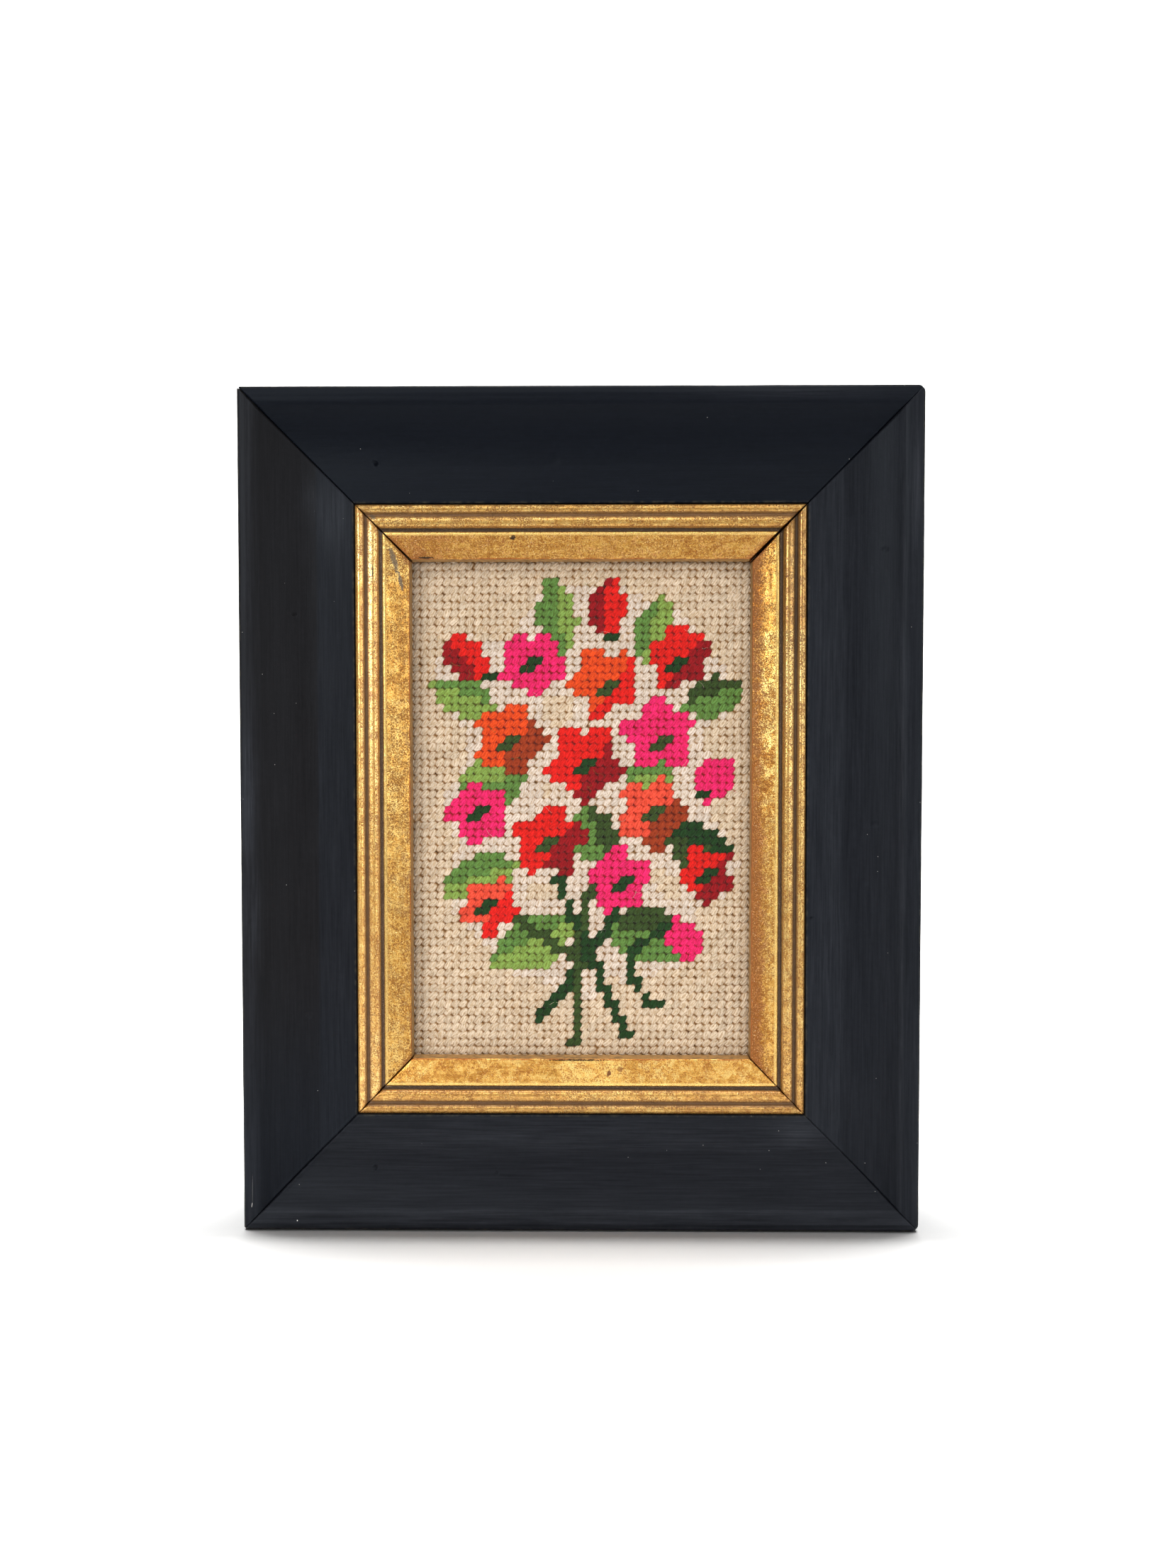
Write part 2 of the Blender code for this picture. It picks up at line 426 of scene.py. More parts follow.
class Value:
    """A number socket that takes part in Python expressions by adding Math nodes."""

    def __init__(self, builder, socket):
        self.builder = builder
        self.socket = socket

    def __add__(self, other):
        return self.builder.math("ADD", self, other)

    def __sub__(self, other):
        return self.builder.math("SUBTRACT", self, other)

    def __rsub__(self, other):
        return self.builder.math("SUBTRACT", other, self)

    def __mul__(self, other):
        return self.builder.math("MULTIPLY", self, other)

    __radd__ = __add__
    __rmul__ = __mul__


class Finish(NodeBuilder):
    """A material with a Principled shader, and places on a surface in millimetres."""

    def __init__(self, name):
        self.material = bpy.data.materials.new(name)
        self.material.use_nodes = True
        super().__init__(self.material.node_tree)
        self.shader = self.tree.nodes["Principled BSDF"]
        self.place = self.object_place()

    def surface(self, varied, fixed=None):
        """Links what varies over the surface to the shader, and sets what doesn't."""
        for name, given in varied.items():
            self.feed(self.shader.inputs[name], given)
        for name, given in (fixed or {}).items():
            self.shader.inputs[name].default_value = given
        return self.material

    def bump(self, height, distance, strength=1.0):
        """A normal bent by a height whose full range is the distance."""
        inputs = {"Height": height, "Distance": distance, "Strength": strength}
        return self.node("ShaderNodeBump", None, inputs).outputs["Normal"]

    def scaled(self, place, factors):
        """A place in metres turned to millimetres and stretched by factors."""
        return self.vector("MULTIPLY", place, tuple(factor / MM for factor in factors))

    def object_place(self, factors=(1.0, 1.0, 1.0)):
        """Object coordinates in millimetres, stretched by factors."""
        return self.scaled(self.node("ShaderNodeTexCoord").outputs["Object"], factors)

    def layout_place(self, factors=(1.0, 1.0, 1.0)):
        """The layout along and across a moulding in millimetres, stretched by factors."""
        layout = self.node("ShaderNodeUVMap", {"uv_map": "surface"})
        return self.scaled(layout.outputs["UV"], factors)

    def brushed(self, along, across, detail=3.0, roughness=0.6, distortion=0.0):
        """Noise drawn out along a moulding, at a scale per millimetre each way."""
        place = self.layout_place((along, across, 1.0))
        return self.noise(place, 1.0, detail, roughness, distortion)

    def parts(self, place):
        made = self.node("ShaderNodeSeparateXYZ", None, {"Vector": place})
        return tuple(self.value(socket) for socket in made.outputs)

    def part_along(self, place, direction):
        """How far a place lies along a direction."""
        inputs = {"Vector": place, "Vector_001": direction}
        made = self.node("ShaderNodeVectorMath", {"operation": "DOT_PRODUCT"}, inputs)
        return self.value(made.outputs["Value"])

    def marked(self, colour, marks, roughness):
        """A colour with small ragged marks, each an ellipse on the front."""
        for across, up, half_width, half_height, lean, stain, strength in marks:
            off = self.vector("SUBTRACT", self.place, (across, 0.0, up))
            turn = Matrix.Rotation(math.radians(-lean), 3, "Y")
            wide = self.part_along(off, tuple(turn @ Vector((1 / half_width, 0.0, 0.0))))
            high = self.part_along(off, tuple(turn @ Vector((0.0, 0.0, 1 / half_height))))
            far = wide * wide + high * high + roughness
            colour = self.blend(self.smooth(far, 1.20, 0.70) * strength, colour, stain)
        return colour

    def attribute(self, name):
        made = self.node("ShaderNodeAttribute", {"attribute_name": name})
        return self.value(made.outputs["Fac"])


def opaque(colour):
    """A colour with its alpha, or a socket as it is."""
    if isinstance(colour, bpy.types.NodeSocket):
        return colour
    return (*tuple(colour)[:3], 1.0)


# Properties that a user would change


def length_property(name, default, description):
    return FloatProperty(name=name, description=description, default=default, unit="LENGTH")


def angle_property(name, degrees, description):
    turn = math.radians(degrees)
    return FloatProperty(name=name, description=description, default=turn, subtype="ANGLE")


def share_property(name, default, description):
    return FloatProperty(name=name, description=description, default=default, subtype="FACTOR")


def colour_property(name, default, description):
    return FloatVectorProperty(name=name, description=description, default=default, subtype="COLOR")


def power_property(name, default, description):
    return FloatProperty(name=name, description=description, default=default, unit="POWER")


class MouldingSettings(bpy.types.PropertyGroup):
    """Shape and colour of the black rails and the gilt liner."""

    grid_step: length_property("Grid Step", 0.0022, "Longest step of the mesh along a moulding")
    section_step: length_property(
        "Section Step", 0.00048, "Longest step of the mesh across a moulding's face"
    )
    waviness: length_property(
        "Waviness", 0.00007, "How far the painted wood stands in and out of its true section"
    )
    leaf_waviness: length_property(
        "Leaf Waviness", 0.00006, "How far the gilded face stands in and out of its true section"
    )
    paint_colour: colour_property(
        "Paint Colour", (0.0022, 0.0034, 0.0066), "Colour of the black paint"
    )
    faded_colour: colour_property(
        "Faded Colour", (0.0052, 0.0042, 0.0042), "Colour of the paint where it has gone brown"
    )
    # Grey of worn paint, which also carries the painted sheen on the rails
    worn_and_lit_colour: colour_property(
        "Worn Colour", (0.026, 0.028, 0.034), "Colour of the paint where it is worn grey"
    )
    wood_colour: colour_property(
        "Wood Colour", (0.36, 0.22, 0.115), "Colour of the bare wood behind"
    )
    leaf_colour: colour_property("Leaf Colour", (0.77, 0.415, 0.088), "Colour of the gold leaf")
    bright_leaf_colour: colour_property(
        "Bright Leaf Colour", (0.97, 0.665, 0.215), "Colour of the leaf where it is least worn"
    )
    thin_leaf_colour: colour_property(
        "Thin Leaf Colour", (0.38, 0.135, 0.016), "Colour of the leaf where the clay shows through"
    )
    bole_colour: colour_property(
        "Bole Colour", (0.34, 0.095, 0.020), "Colour of the red clay under the leaf"
    )
    pit_colour: colour_property(
        "Pit Colour", (0.20, 0.062, 0.007), "Colour of the fine pits that cover the leaf"
    )
    patina_colour: colour_property(
        "Patina Colour", (0.115, 0.058, 0.026), "Colour of the grime between the beads"
    )
    quirk_colour: colour_property(
        "Quirk Colour", (0.060, 0.035, 0.021), "Colour of the dark groove beside the flat band"
    )


class WorkingSettings(bpy.types.PropertyGroup):
    """How the wool is stitched."""

    length: length_property(
        "Stitch Length", 0.00320, "Rise of a stitch from its lower end to its upper end"
    )
    width: length_property(
        "Stitch Width", 0.00237, "Width of a stitch at its middle, along the row"
    )
    thickness: length_property("Stitch Thickness", 0.00170, "Thickness of a stitch at its middle")
    arch: length_property("Arch", 0.00090, "How far a stitch's ends lie behind its middle")
    lean: angle_property("Lean", 52, "Slant of a stitch above the row")
    cut: share_property(
        "Cut", 0.60, "Fall of a stitch's end across its width, as a share of that width"
    )
    turn_spread: angle_property("Turn Spread", 8, "How far a stitch may turn from its lean")
    size_spread: share_property(
        "Size Spread", 0.09, "Share by which a stitch may be larger or smaller"
    )
    shade_spread: share_property(
        "Shade Spread", 0.09, "Share by which a stitch may be lighter or darker"
    )
    fibres: IntProperty(
        name="Stray Fibres", default=420, description="Number of stray fibres over the stitches"
    )
    seed: IntProperty(
        name="Seed", default=11, description="Seed of everything random in the stitches"
    )


class WoolColours(bpy.types.PropertyGroup):
    """Colour of each yarn."""


for yarn, yarn_colour in YARNS.items():
    WoolColours.__annotations__[yarn] = colour_property(
        yarn.capitalize(), yarn_colour, f"Colour of the {yarn} wool"
    )


class StageSettings(bpy.types.PropertyGroup):
    """Light on the frame and on the white sheet around it."""

    overhead: power_property(
        "Overhead Light", 0.36, "Small lamp above the frame, which casts the shadow in front"
    )
    softener: power_property("Softener", 0.46, "Lamp beside it, which softens the shadow")
    flank: power_property(
        "Flank Lights", 1.04, "Each of two lamps that light the floor from the sides"
    )
    backdrop: power_property("Backdrop Light", 28.2, "Lamp that lights the white sheet behind")
    ceiling: power_property("Ceiling Light", 8.0, "Soft light from above")
    front: power_property("Front Light", 3.8, "Soft light from above and in front")
    level: power_property(
        "Level Light", 0.25, "Weak light straight in front, which the lower leaf mirrors"
    )
    window: power_property("Window Light", 7.1, "Soft light from the front left")
    side: power_property("Side Light", 3.5, "Soft light from the right")
    fill: power_property("Fill Light", 3.2, "Soft low light from the front right")
    surround: FloatProperty(
        name="Surround", default=0.08, description="Brightness of the room"
    )


# Meshes


def arc(centre, radius, start, end, steps):
    """Points of an arc in the section, with angles in radians from inward towards back."""
    points = []
    for step in range(steps + 1):
        angle = start + (end - start) * step / steps
        points.append((centre[0] + radius * math.cos(angle), centre[1] + radius * math.sin(angle)))
    return points


def bead(start, end, foot_start, foot_end, crest):
    """Points over a rounded bead with flared feet, which may stand at two levels."""
    points = []
    for step in range(BEAD_STEPS + 1):
        angle = math.pi * step / BEAD_STEPS
        across = (1 - math.cos(angle)) / 2
        foot = foot_start + (foot_end - foot_start) * across
        back = foot + (crest - foot) * math.sin(angle) ** BEAD_FLARE
        points.append((start + (end - start) * across, back))
    return points


def eased(points, radius):
    """A path whose corners are rounded by short curves, where they turn enough to need it."""
    result = [points[0]]
    for before, here, after in zip(points, points[1:], points[2:]):
        before, here, after = Vector(before), Vector(here), Vector(after)
        incoming = here - before
        outgoing = after - here
        if incoming.angle(outgoing, 0.0) < LEAST_CORNER:
            result.append(tuple(here))
            continue
        cut = min(radius, incoming.length * MOST_CUT, outgoing.length * MOST_CUT)
        first = here - incoming.normalized() * cut
        last = here + outgoing.normalized() * cut
        for step in range(EASE_STEPS + 1):
            share = step / EASE_STEPS
            point = first * (1 - share) ** 2 + here * 2 * share * (1 - share) + last * share**2
            result.append(tuple(point))
    result.append(points[-1])
    return result


def divided(points, step):
    """A path with points added so that none of its pieces is longer than a step."""
    result = [points[0]]
    for before, after in zip(points, points[1:]):
        count = max(1, math.ceil(math.dist(before, after) / step - 1e-6))
        for index in range(1, count + 1):
            share = index / count
            result.append(tuple(a + (b - a) * share for a, b in zip(before, after)))
    return result


def rail_face(step):
    """The black rail's painted face from its back edge, round the lip and down the scoop."""
    outer_centre = (OUTER_ROUND, OUTER_ROUND + LIP_FALL)
    outer = arc(outer_centre, OUTER_ROUND, math.pi, 1.5 * math.pi, ROUND_STEPS)
    crest = [((OUTER_ROUND + LIP_FLAT_END) / 2, 0.0)]
    arris_centre = (LIP_FLAT_END, LIP_FALL + ARRIS_ROUND)
    arris_end = SCOOP_SLOPE - 0.5 * math.pi
    arris = arc(arris_centre, ARRIS_ROUND, -0.5 * math.pi, arris_end, ROUND_STEPS)
    top_inward, top_back = arris[-1]
    scoop_radius = (SCOOP_DEPTH - top_back) / (1 - math.cos(SCOOP_SLOPE))
    scoop_centre = (top_inward + scoop_radius * math.sin(SCOOP_SLOPE), SCOOP_DEPTH - scoop_radius)
    scoop_start = 0.5 * math.pi + SCOOP_SLOPE
    scoop = arc(scoop_centre, scoop_radius, scoop_start, 0.5 * math.pi, SCOOP_STEPS)
    side = [(0.0, FRAME_DEPTH - BACK_EASE)]
    flat = [(INNER_WALL - 3 * MM, SCOOP_DEPTH), (INNER_WALL, SCOOP_DEPTH)]
    edge = eased([*flat, (INNER_WALL, RAIL_LIP_BACK)], INNER_EASE)
    plain = divided(side + outer[:1], SIDE_STEP)
    return plain[:-1] + divided(outer + crest + arris + scoop[1:] + edge, step)


def rail_back():
    """The rest of the black rail's section, which isn't painted."""
    rebate_side = RAIL_FACE - RAIL_REBATE
    return [(rebate_side, RAIL_LIP_BACK), (rebate_side, FRAME_DEPTH), (BACK_EASE, FRAME_DEPTH)]


def liner_face(step):
    """The liner's gilded face, from the black rail down to the picture."""
    face = [(LINER_BEADS[0][0], RAIL_LIP_BACK + CLEARANCE)]
    for sizes in LINER_BEADS:
        face += bead(*sizes)
    face += [*LINER_QUIRK, *BAND_SHOULDER]
    face += [(LINER_FACE, SIGHT_EDGE_BACK), (LINER_FACE, LINER_LIP_BACK)]
    return divided(eased(face, LINER_EASE), step)


def liner_back():
    """The rest of the liner's section: its rebate, its back and the flange behind the rail."""
    outer = -RAIL_REBATE + CLEARANCE
    return [
        (LINER_FACE - LINER_REBATE, LINER_LIP_BACK),
        (LINER_FACE - LINER_REBATE, LINER_BACK),
        (outer, LINER_BACK),
        (outer, RAIL_LIP_BACK + CLEARANCE),
    ]


def refined(start, end, step, spots, near, close):
    """Places from start to end, a step apart but close together near spots."""
    places = [start]
    while places[-1] < end - 1e-9:
        here = places[-1]
        stride = step
        for spot in spots:
            if abs(here - spot) < near:
                stride = close
            elif here < spot - near < here + stride:
                stride = spot - near - here + 1e-9
        places.append(min(end, here + stride))
    return places


def eased_step(low, high, given):
    """0 up to low, 1 from high on, and a smooth step between. Low may be above high."""
    share = min(1.0, max(0.0, (given - low) / (high - low)))
    return share * share * (3 - 2 * share)


def hump(given, middle, reach):
    """1 at a middle, falling smoothly to nothing two or three reaches away."""
    return math.exp(-(((given - middle) / reach) ** 2))


def wander(*place):
    """Smooth noise from -1 to 1."""
    return noise.noise(Vector(place))


def side_matrix(side):
    """Where a side's own along, back and inward axes lie in the frame."""
    turn = SIDES[side][0]
    places = {
        "bottom": (0.0, 0.0),
        "right": (FRAME_WIDTH / 2, FRAME_HEIGHT / 2),
        "top": (0.0, FRAME_HEIGHT),
        "left": (-FRAME_WIDTH / 2, FRAME_HEIGHT / 2),
    }
    across, up = places[side]
    place = Matrix.Translation((across, 0.0, up))
    return place @ Matrix.Rotation(math.radians(turn), 4, "Y")


def side_length(side):
    return FRAME_WIDTH if side in ("bottom", "top") else FRAME_HEIGHT


class Moulding:
    """One mitred length of moulding, made on a grid of stations along it and points across.

    A kind of moulding adds setback, which is how far a mitre stands back from the corner's
    diagonal, and relief, which is how far the face stands out of its true section.
    """

    def __init__(self, side, offset, face, rest, settings):
        self.side = side
        self.offset = offset
        self.settings = settings
        self.outline = face + rest
        self.painted = len(face)
        self.length = side_length(side)
        self.start, self.end = SIDES[side][1:]
        self.key = 17.0 * list(SIDES).index(side)
        self.dents = []
        self.groove = 0.0

    def corner_round(self, corner):
        """Radius of the worn outer corner."""
        return 0.0

    def uneven(self, along, inward, waviness, waves):
        """Height of the gentle waves of a face."""
        height = 0.0
        for share, per_metre, across_per_metre, phase in waves:
            wave = wander(along * per_metre, inward * across_per_metre, self.key + phase)
            height += share * waviness * wave
        return height

    def halves(self, inward, back):
        """How far the length reaches from its middle at each end."""
        reach = self.length / 2 - self.offset - inward
        starts, ends = (self.setback(corner, inward, back) for corner in (self.start, self.end))
        return reach - starts, reach - ends

    def rounded(self, along, inward):
        """A place near an outer corner, moved onto the corner's round."""
        corner = self.start if along < 0 else self.end
        radius = self.corner_round(corner)
        reach = self.length / 2 - self.offset - abs(along)
        if reach >= radius or inward >= radius:
            return along, inward
        turn = math.radians(45) * (radius - reach) / (radius - inward)
        reach = radius - (radius - inward) * math.sin(turn)
        placed = math.copysign(self.length / 2 - self.offset - reach, along)
        return placed, radius - (radius - inward) * math.cos(turn)

    def outward(self, index):
        """Direction out of the section at a point of the outline."""
        before = Vector(self.outline[index - 1])
        after = Vector(self.outline[(index + 1) % len(self.outline)])
        run = (after - before).normalized()
        return run.y, -run.x

    def fractions(self):
        """Stations between the ends, as shares of what lies between them."""
        margin = END_STATIONS[-1]
        span = self.length - 2 * self.offset - 2 * margin
        spots = []
        for along, inward, *_ in self.dents:
            first, last = self.halves(inward, 0.0)
            spots.append((along + first - margin) / (first + last - 2 * margin))
        step = self.settings.grid_step / span
        return refined(0.0, 1.0, step, sorted(spots), DENT_REACH / span, DENT_STEP / span)

    def stations(self, inward, back):
        """Every place along the moulding at a point across it, and its distance from each end."""
        first, last = self.halves(inward, back)
        margin = END_STATIONS[-1]
        places = [-first + gap for gap in END_STATIONS[:-1]]
        places += [-first + margin + share * (first + last - 2 * margin) for share in self.shares]
        places += [last - gap for gap in reversed(END_STATIONS[:-1])]
        return [(along, along + first, last - along) for along in places]

    def closed_end(self, end):
        """Where the mitre closes: points inside the section's outline, on the corner's diagonal."""
        points = []
        for index, (inward, back) in enumerate(self.outline):
            normal = self.outward(index)
            inward -= normal[0] * self.groove
            along = end * (self.length / 2 - self.offset - inward)
            placed, inward = self.rounded(along, inward)
            points.append((placed, FRONT_Y + back - normal[1] * self.groove, inward + self.offset))
        return points

    def build(self, name, materials):
        """The closed mesh object, with its layout and its attributes."""
        self.shares = self.fractions()
        around = len(self.outline)
        vertices, labels, layout = self.sheath()
        count = len(vertices) // around
        faces = []
        for index in range(around):
            after = (index + 1) % around
            for station in range(count - 1):
                first = index * count + station
                second = after * count + station
                faces.append((first, first + 1, second + 1, second))
        sheath_faces = len(faces)
        for end in (-1, 1):
            rim = [index * count + (0 if end < 0 else count - 1) for index in range(around)]
            if self.groove:
                bottom = [len(vertices) + index for index in range(around)]
                vertices += self.closed_end(end)
                # The deep end of a crack isn't seen, so it borrows the first labels and layout
                labels += labels[:around]
                layout += layout[:around]
                for index in range(around):
                    after = (index + 1) % around
                    faces.append((rim[index], rim[after], bottom[after], bottom[index]))
                rim = bottom
            faces.append(rim)
        mesh = bpy.data.meshes.new(name)
        mesh.from_pydata(vertices, [], faces)
        mesh.transform(side_matrix(self.side))
        for material in materials:
            mesh.materials.append(material)
        first_plain = (self.painted - 1) * (count - 1)
        for polygon in mesh.polygons:
            polygon.material_index = int(first_plain <= polygon.index < sheath_faces)
        layer = mesh.uv_layers.new(name="surface")
        for loop in mesh.loops:
            layer.data[loop.index].uv = layout[loop.vertex_index]
        store(mesh, "inward", labels)
        return thing_of(name, mesh)

    def sheath(self):
        """Vertices round the section, one row along it for each point, with labels and layout."""
        vertices = []
        labels = []
        layout = []
        run = 0.0
        for index, (inward, back) in enumerate(self.outline):
            if index:
                run += math.dist(self.outline[index - 1], (inward, back))
            normal = self.outward(index)
            for along, from_start, from_end in self.stations(inward, back):
                height = 0.0
                if index < self.painted:
                    height = self.relief(along, inward, back, from_start, from_end)
                placed, moved = self.rounded(along, inward + normal[0] * height)
                vertices.append((placed, FRONT_Y + back + normal[1] * height, moved + self.offset))
                labels.append(inward / MM)
                layout.append((along + self.key, run))
        return vertices, labels, layout


def store(mesh, name, values):
    """A number for every vertex, which a material can read."""
    layer = mesh.attributes.new(name, "FLOAT", "POINT")
    layer.data.foreach_set("value", values)


def linked(name, data):
    """An object of some data, in the scene."""
    thing = bpy.data.objects.new(name, data)
    bpy.context.scene.collection.objects.link(thing)
    return thing


def mesh_of(name, bm):
    """A mesh of what a bmesh holds, which is then freed."""
    mesh = bpy.data.meshes.new(name)
    bm.to_mesh(mesh)
    bm.free()
    return mesh


def thing_of(name, mesh, sharp=35):
    """A smooth object of a closed mesh, faces out, creased where it turns by sharp degrees."""
    bm = bmesh.new()
    bm.from_mesh(mesh)
    bmesh.ops.recalc_face_normals(bm, faces=bm.faces)
    bm.to_mesh(mesh)
    bm.free()
    mesh.shade_smooth()
    mesh.set_sharp_from_angle(angle=math.radians(sharp))
    return linked(name, mesh)


class BlackRail(Moulding):
    """A painted rail with dents, waves and cracked corners."""

    def __init__(self, side, settings):
        super().__init__(side, 0.0, rail_face(settings.section_step), rail_back(), settings)
        self.groove = CRACK_DEPTH
        into = side_matrix(side).inverted()
        for rail, across, up, radius, depth in DENTS:
            if rail == side:
                place = into @ Vector((across, 0.0, up))
                self.dents.append((place.x, place.z, radius, depth))

    def setback(self, corner, inward, back):
        _, lip, inside, rough = CORNERS[corner][:4]
        gap = lip + (inside - lip) * eased_step(*CRACK_CHANGE, inward)
        gap += rough * wander(inward * 900, self.key, 3.0)
        return max(LEAST_CRACK, gap / math.sqrt(2))

    def corner_round(self, corner):
        return CORNERS[corner][0]

    def relief(self, along, inward, back, near_start, near_end):
        if inward > INNER_WALL - INNER_EASE:
            return 0.0
        height = self.uneven(along, inward, self.settings.waviness, PAINT_WAVES)
        if back > OUTER_ROUND + LIP_FALL and inward < OUTER_ROUND:
            return height
        for place, depth_inward, radius, depth in self.dents:
            share = math.hypot(along - place, inward - depth_inward) / radius
            if share < DENT_END:
                height -= depth * max(0.0, 1 - share * share) ** 1.5
                height += DENT_RIM * depth * hump(share, *DENT_RIM_PLACE)
        fall, reach = PAINT_FALL
        for corner, gap in ((self.start, near_start), (self.end, near_end)):
            height -= fall * max(0.0, 1 - gap / reach)
            ridge = CORNERS[corner][6] * hump(gap, *RIDGE_PLACE)
            rough = 0.65 + 0.6 * wander(inward * 420, along * 200, self.key)
            height += ridge * rough * eased_step(*RIDGE_GROWTH, inward)
        return height


class GiltLength(Moulding):
    """A gilded length of the liner, with rubbed beads and open mitres."""

    def __init__(self, side, settings):
        face = liner_face(settings.section_step * LINER_FINENESS)
        super().__init__(side, RAIL_FACE, face, liner_back(), settings)

    def setback(self, corner, inward, back):
        outer, inner = CORNERS[corner][4:6]
        gap = outer + (inner - outer) * eased_step(0.0, LINER_FACE, inward)
        gap += LEAF_CRACK_ROUGHNESS * wander(inward * 1400, self.key, 9.0)
        if back >= LINER_LIP_BACK or inward < 0:
            gap = 0.0
        return max(LEAST_LEAF_CRACK, gap / math.sqrt(2))

    def relief(self, along, inward, back, near_start, near_end):
        if back > SIGHT_EDGE_BACK + MM or inward < LINER_BEADS[0][0] + 0.00005:
            return 0.0
        height = self.uneven(along, inward, self.settings.leaf_waviness, LEAF_WAVES)
        fall, reach = LEAF_FALL
        for gap in (near_start, near_end):
            height -= fall * max(0.0, 1 - gap / reach)
        return height


# Finishes

# Length of a sheet of leaf along a rail, and where the first begins, in millimetres
LEAF_SHEET = 37.0156
LEAF_START = 6.33

LEAF_TONES_AND_LIGHT = {
    # how bright the leaf is on the outer bead, the groove, the inner bead, the quirk and the band:
    # partly the leaf's own tone and partly painted light, each side brightened or darkened as the
    # light falls on it, with painted highlight on the left beads
    "bottom": (0.74, 0.80, 0.88, 1.05, 1.08),
    "right": (0.80, 0.48, 0.80, 1.15, 0.93),
    "top": (0.73, 1.12, 0.78, 0.98, 0.99),
    "left": (1.12, 0.72, 1.00, 1.55, 0.80),
}
LEAF_POLISH = {"bottom": 0.6, "right": 0.6, "top": 0.4, "left": 1.0}

# Millimetres inward of the black rail: where one of those parts gives way to the next, and the
# middles of the beads, of the groove between them, of the quirk and of the painted highlight beside
# it
PART_EDGES = ((2.7, 3.0), (3.6, 3.9), (7.2, 7.5), (8.2, 8.5))
OUTER_BEAD = 1.45
GROOVE = 3.25
INNER_BEAD = 5.40
QUIRK = 7.74
HIGHLIGHT_LINE = 8.95

# The same, for what changes over a short way: where the change starts and where it is complete
BEADS_END = (7.5, 7.1)
SEAM_REACH = (0.28, -0.02)
SIGHT_CORNER = (16.15, 16.42)
SIGHT_WALL = (16.64, 16.69)

# Places on the black rail in millimetres: its outer edge, how far down its side that is rubbed,
# and its inner edge
OUTER_EDGE = 0.35
EDGE_REACH = (-14.6, -16.2)
INNER_EDGE = (34.1, 34.8)

# Where the liner's painted shadow starts and is darkest on the wool, in millimetres across and up,
# and how deep in the frame the painted shade in the hollows between stitches starts and is darkest
LEFT_EDGE_SHADOW = (-44.0, -57.0)
TOP_EDGE_SHADOW = (205.0, 215.5)
HOLLOW_SHADE_DEPTHS = (0.42, 0.88)

# Colours in linear light that the settings don't hold
RUBBED_PAINT = (0.060, 0.054, 0.036)
DUST = (0.42, 0.41, 0.39)
# Brown of the painted shade on the flanks of the beads
BEAD_FLANK_SHADE = (0.36, 0.155, 0.030)
# Pale gold of the painted glints on the leaf
PAINTED_GLINT = (1.0, 0.88, 0.55)
QUIRK_DUST = (0.30, 0.21, 0.13)
WALL_GILT = (0.44, 0.245, 0.085)
WALL_STAIN = (0.12, 0.080, 0.048)
SEAM_DARK = (0.030, 0.018, 0.012)
CANVAS_DARK = (0.075, 0.038, 0.017)
CANVAS_PALE = (0.14, 0.078, 0.036)
BOARD_BROWN = (0.34, 0.23, 0.135)
BOARD_FLECK = (0.12, 0.075, 0.045)
SHEET_WHITE = (0.84, 0.84, 0.835)

BLEMISHES = (
    # across from the middle and up from the foot, half width and half height, all in
    # millimetres, lean from upright in degrees, colour, strength
    (-21.70, 220.5, 0.8, 0.7, 0, (0.020, 0.010, 0.006), 0.95),
    (9.10, 47.5, 0.65, 0.95, -20, (0.13, 0.035, 0.014), 0.90),
    (12.80, 48.8, 1.10, 0.80, 0, (0.20, 0.075, 0.026), 0.65),
    (-1.50, 51.5, 9.4, 0.30, 0, (0.020, 0.011, 0.006), 0.85),
    (-50.00, 214.4, 2.8, 0.32, 0, (0.020, 0.011, 0.006), 0.95),
    (-60.00, 213.4, 0.85, 4.4, 16, (0.110, 0.088, 0.066), 0.80),
    (-58.00, 206.6, 0.60, 2.6, 12, (0.110, 0.088, 0.066), 0.85),
    (-66.20, 226.6, 1.10, 0.6, -45, (0.090, 0.068, 0.046), 0.75),
    (-64.20, 222.4, 0.60, 1.2, 20, (0.110, 0.088, 0.066), 0.70),
    (-66.40, 209.6, 0.22, 2.2, 0, (0.020, 0.011, 0.006), 0.90),
    (20.60, 222.4, 3.40, 0.22, 0, (0.060, 0.034, 0.018), 0.75),
)

PAINT_MARKS = (
    # as above: two scratches on the left lip and a fleck of white on the bottom one
    (-104.05, 13.0, 0.12, 4.6, -1, (0.10, 0.10, 0.10), 0.45),
    (-104.25, 8.2, 0.15, 0.8, -8, (0.30, 0.29, 0.28), 0.80),
    (-89.90, 3.2, 0.15, 0.20, 0, (0.75, 0.74, 0.72), 0.95),
)


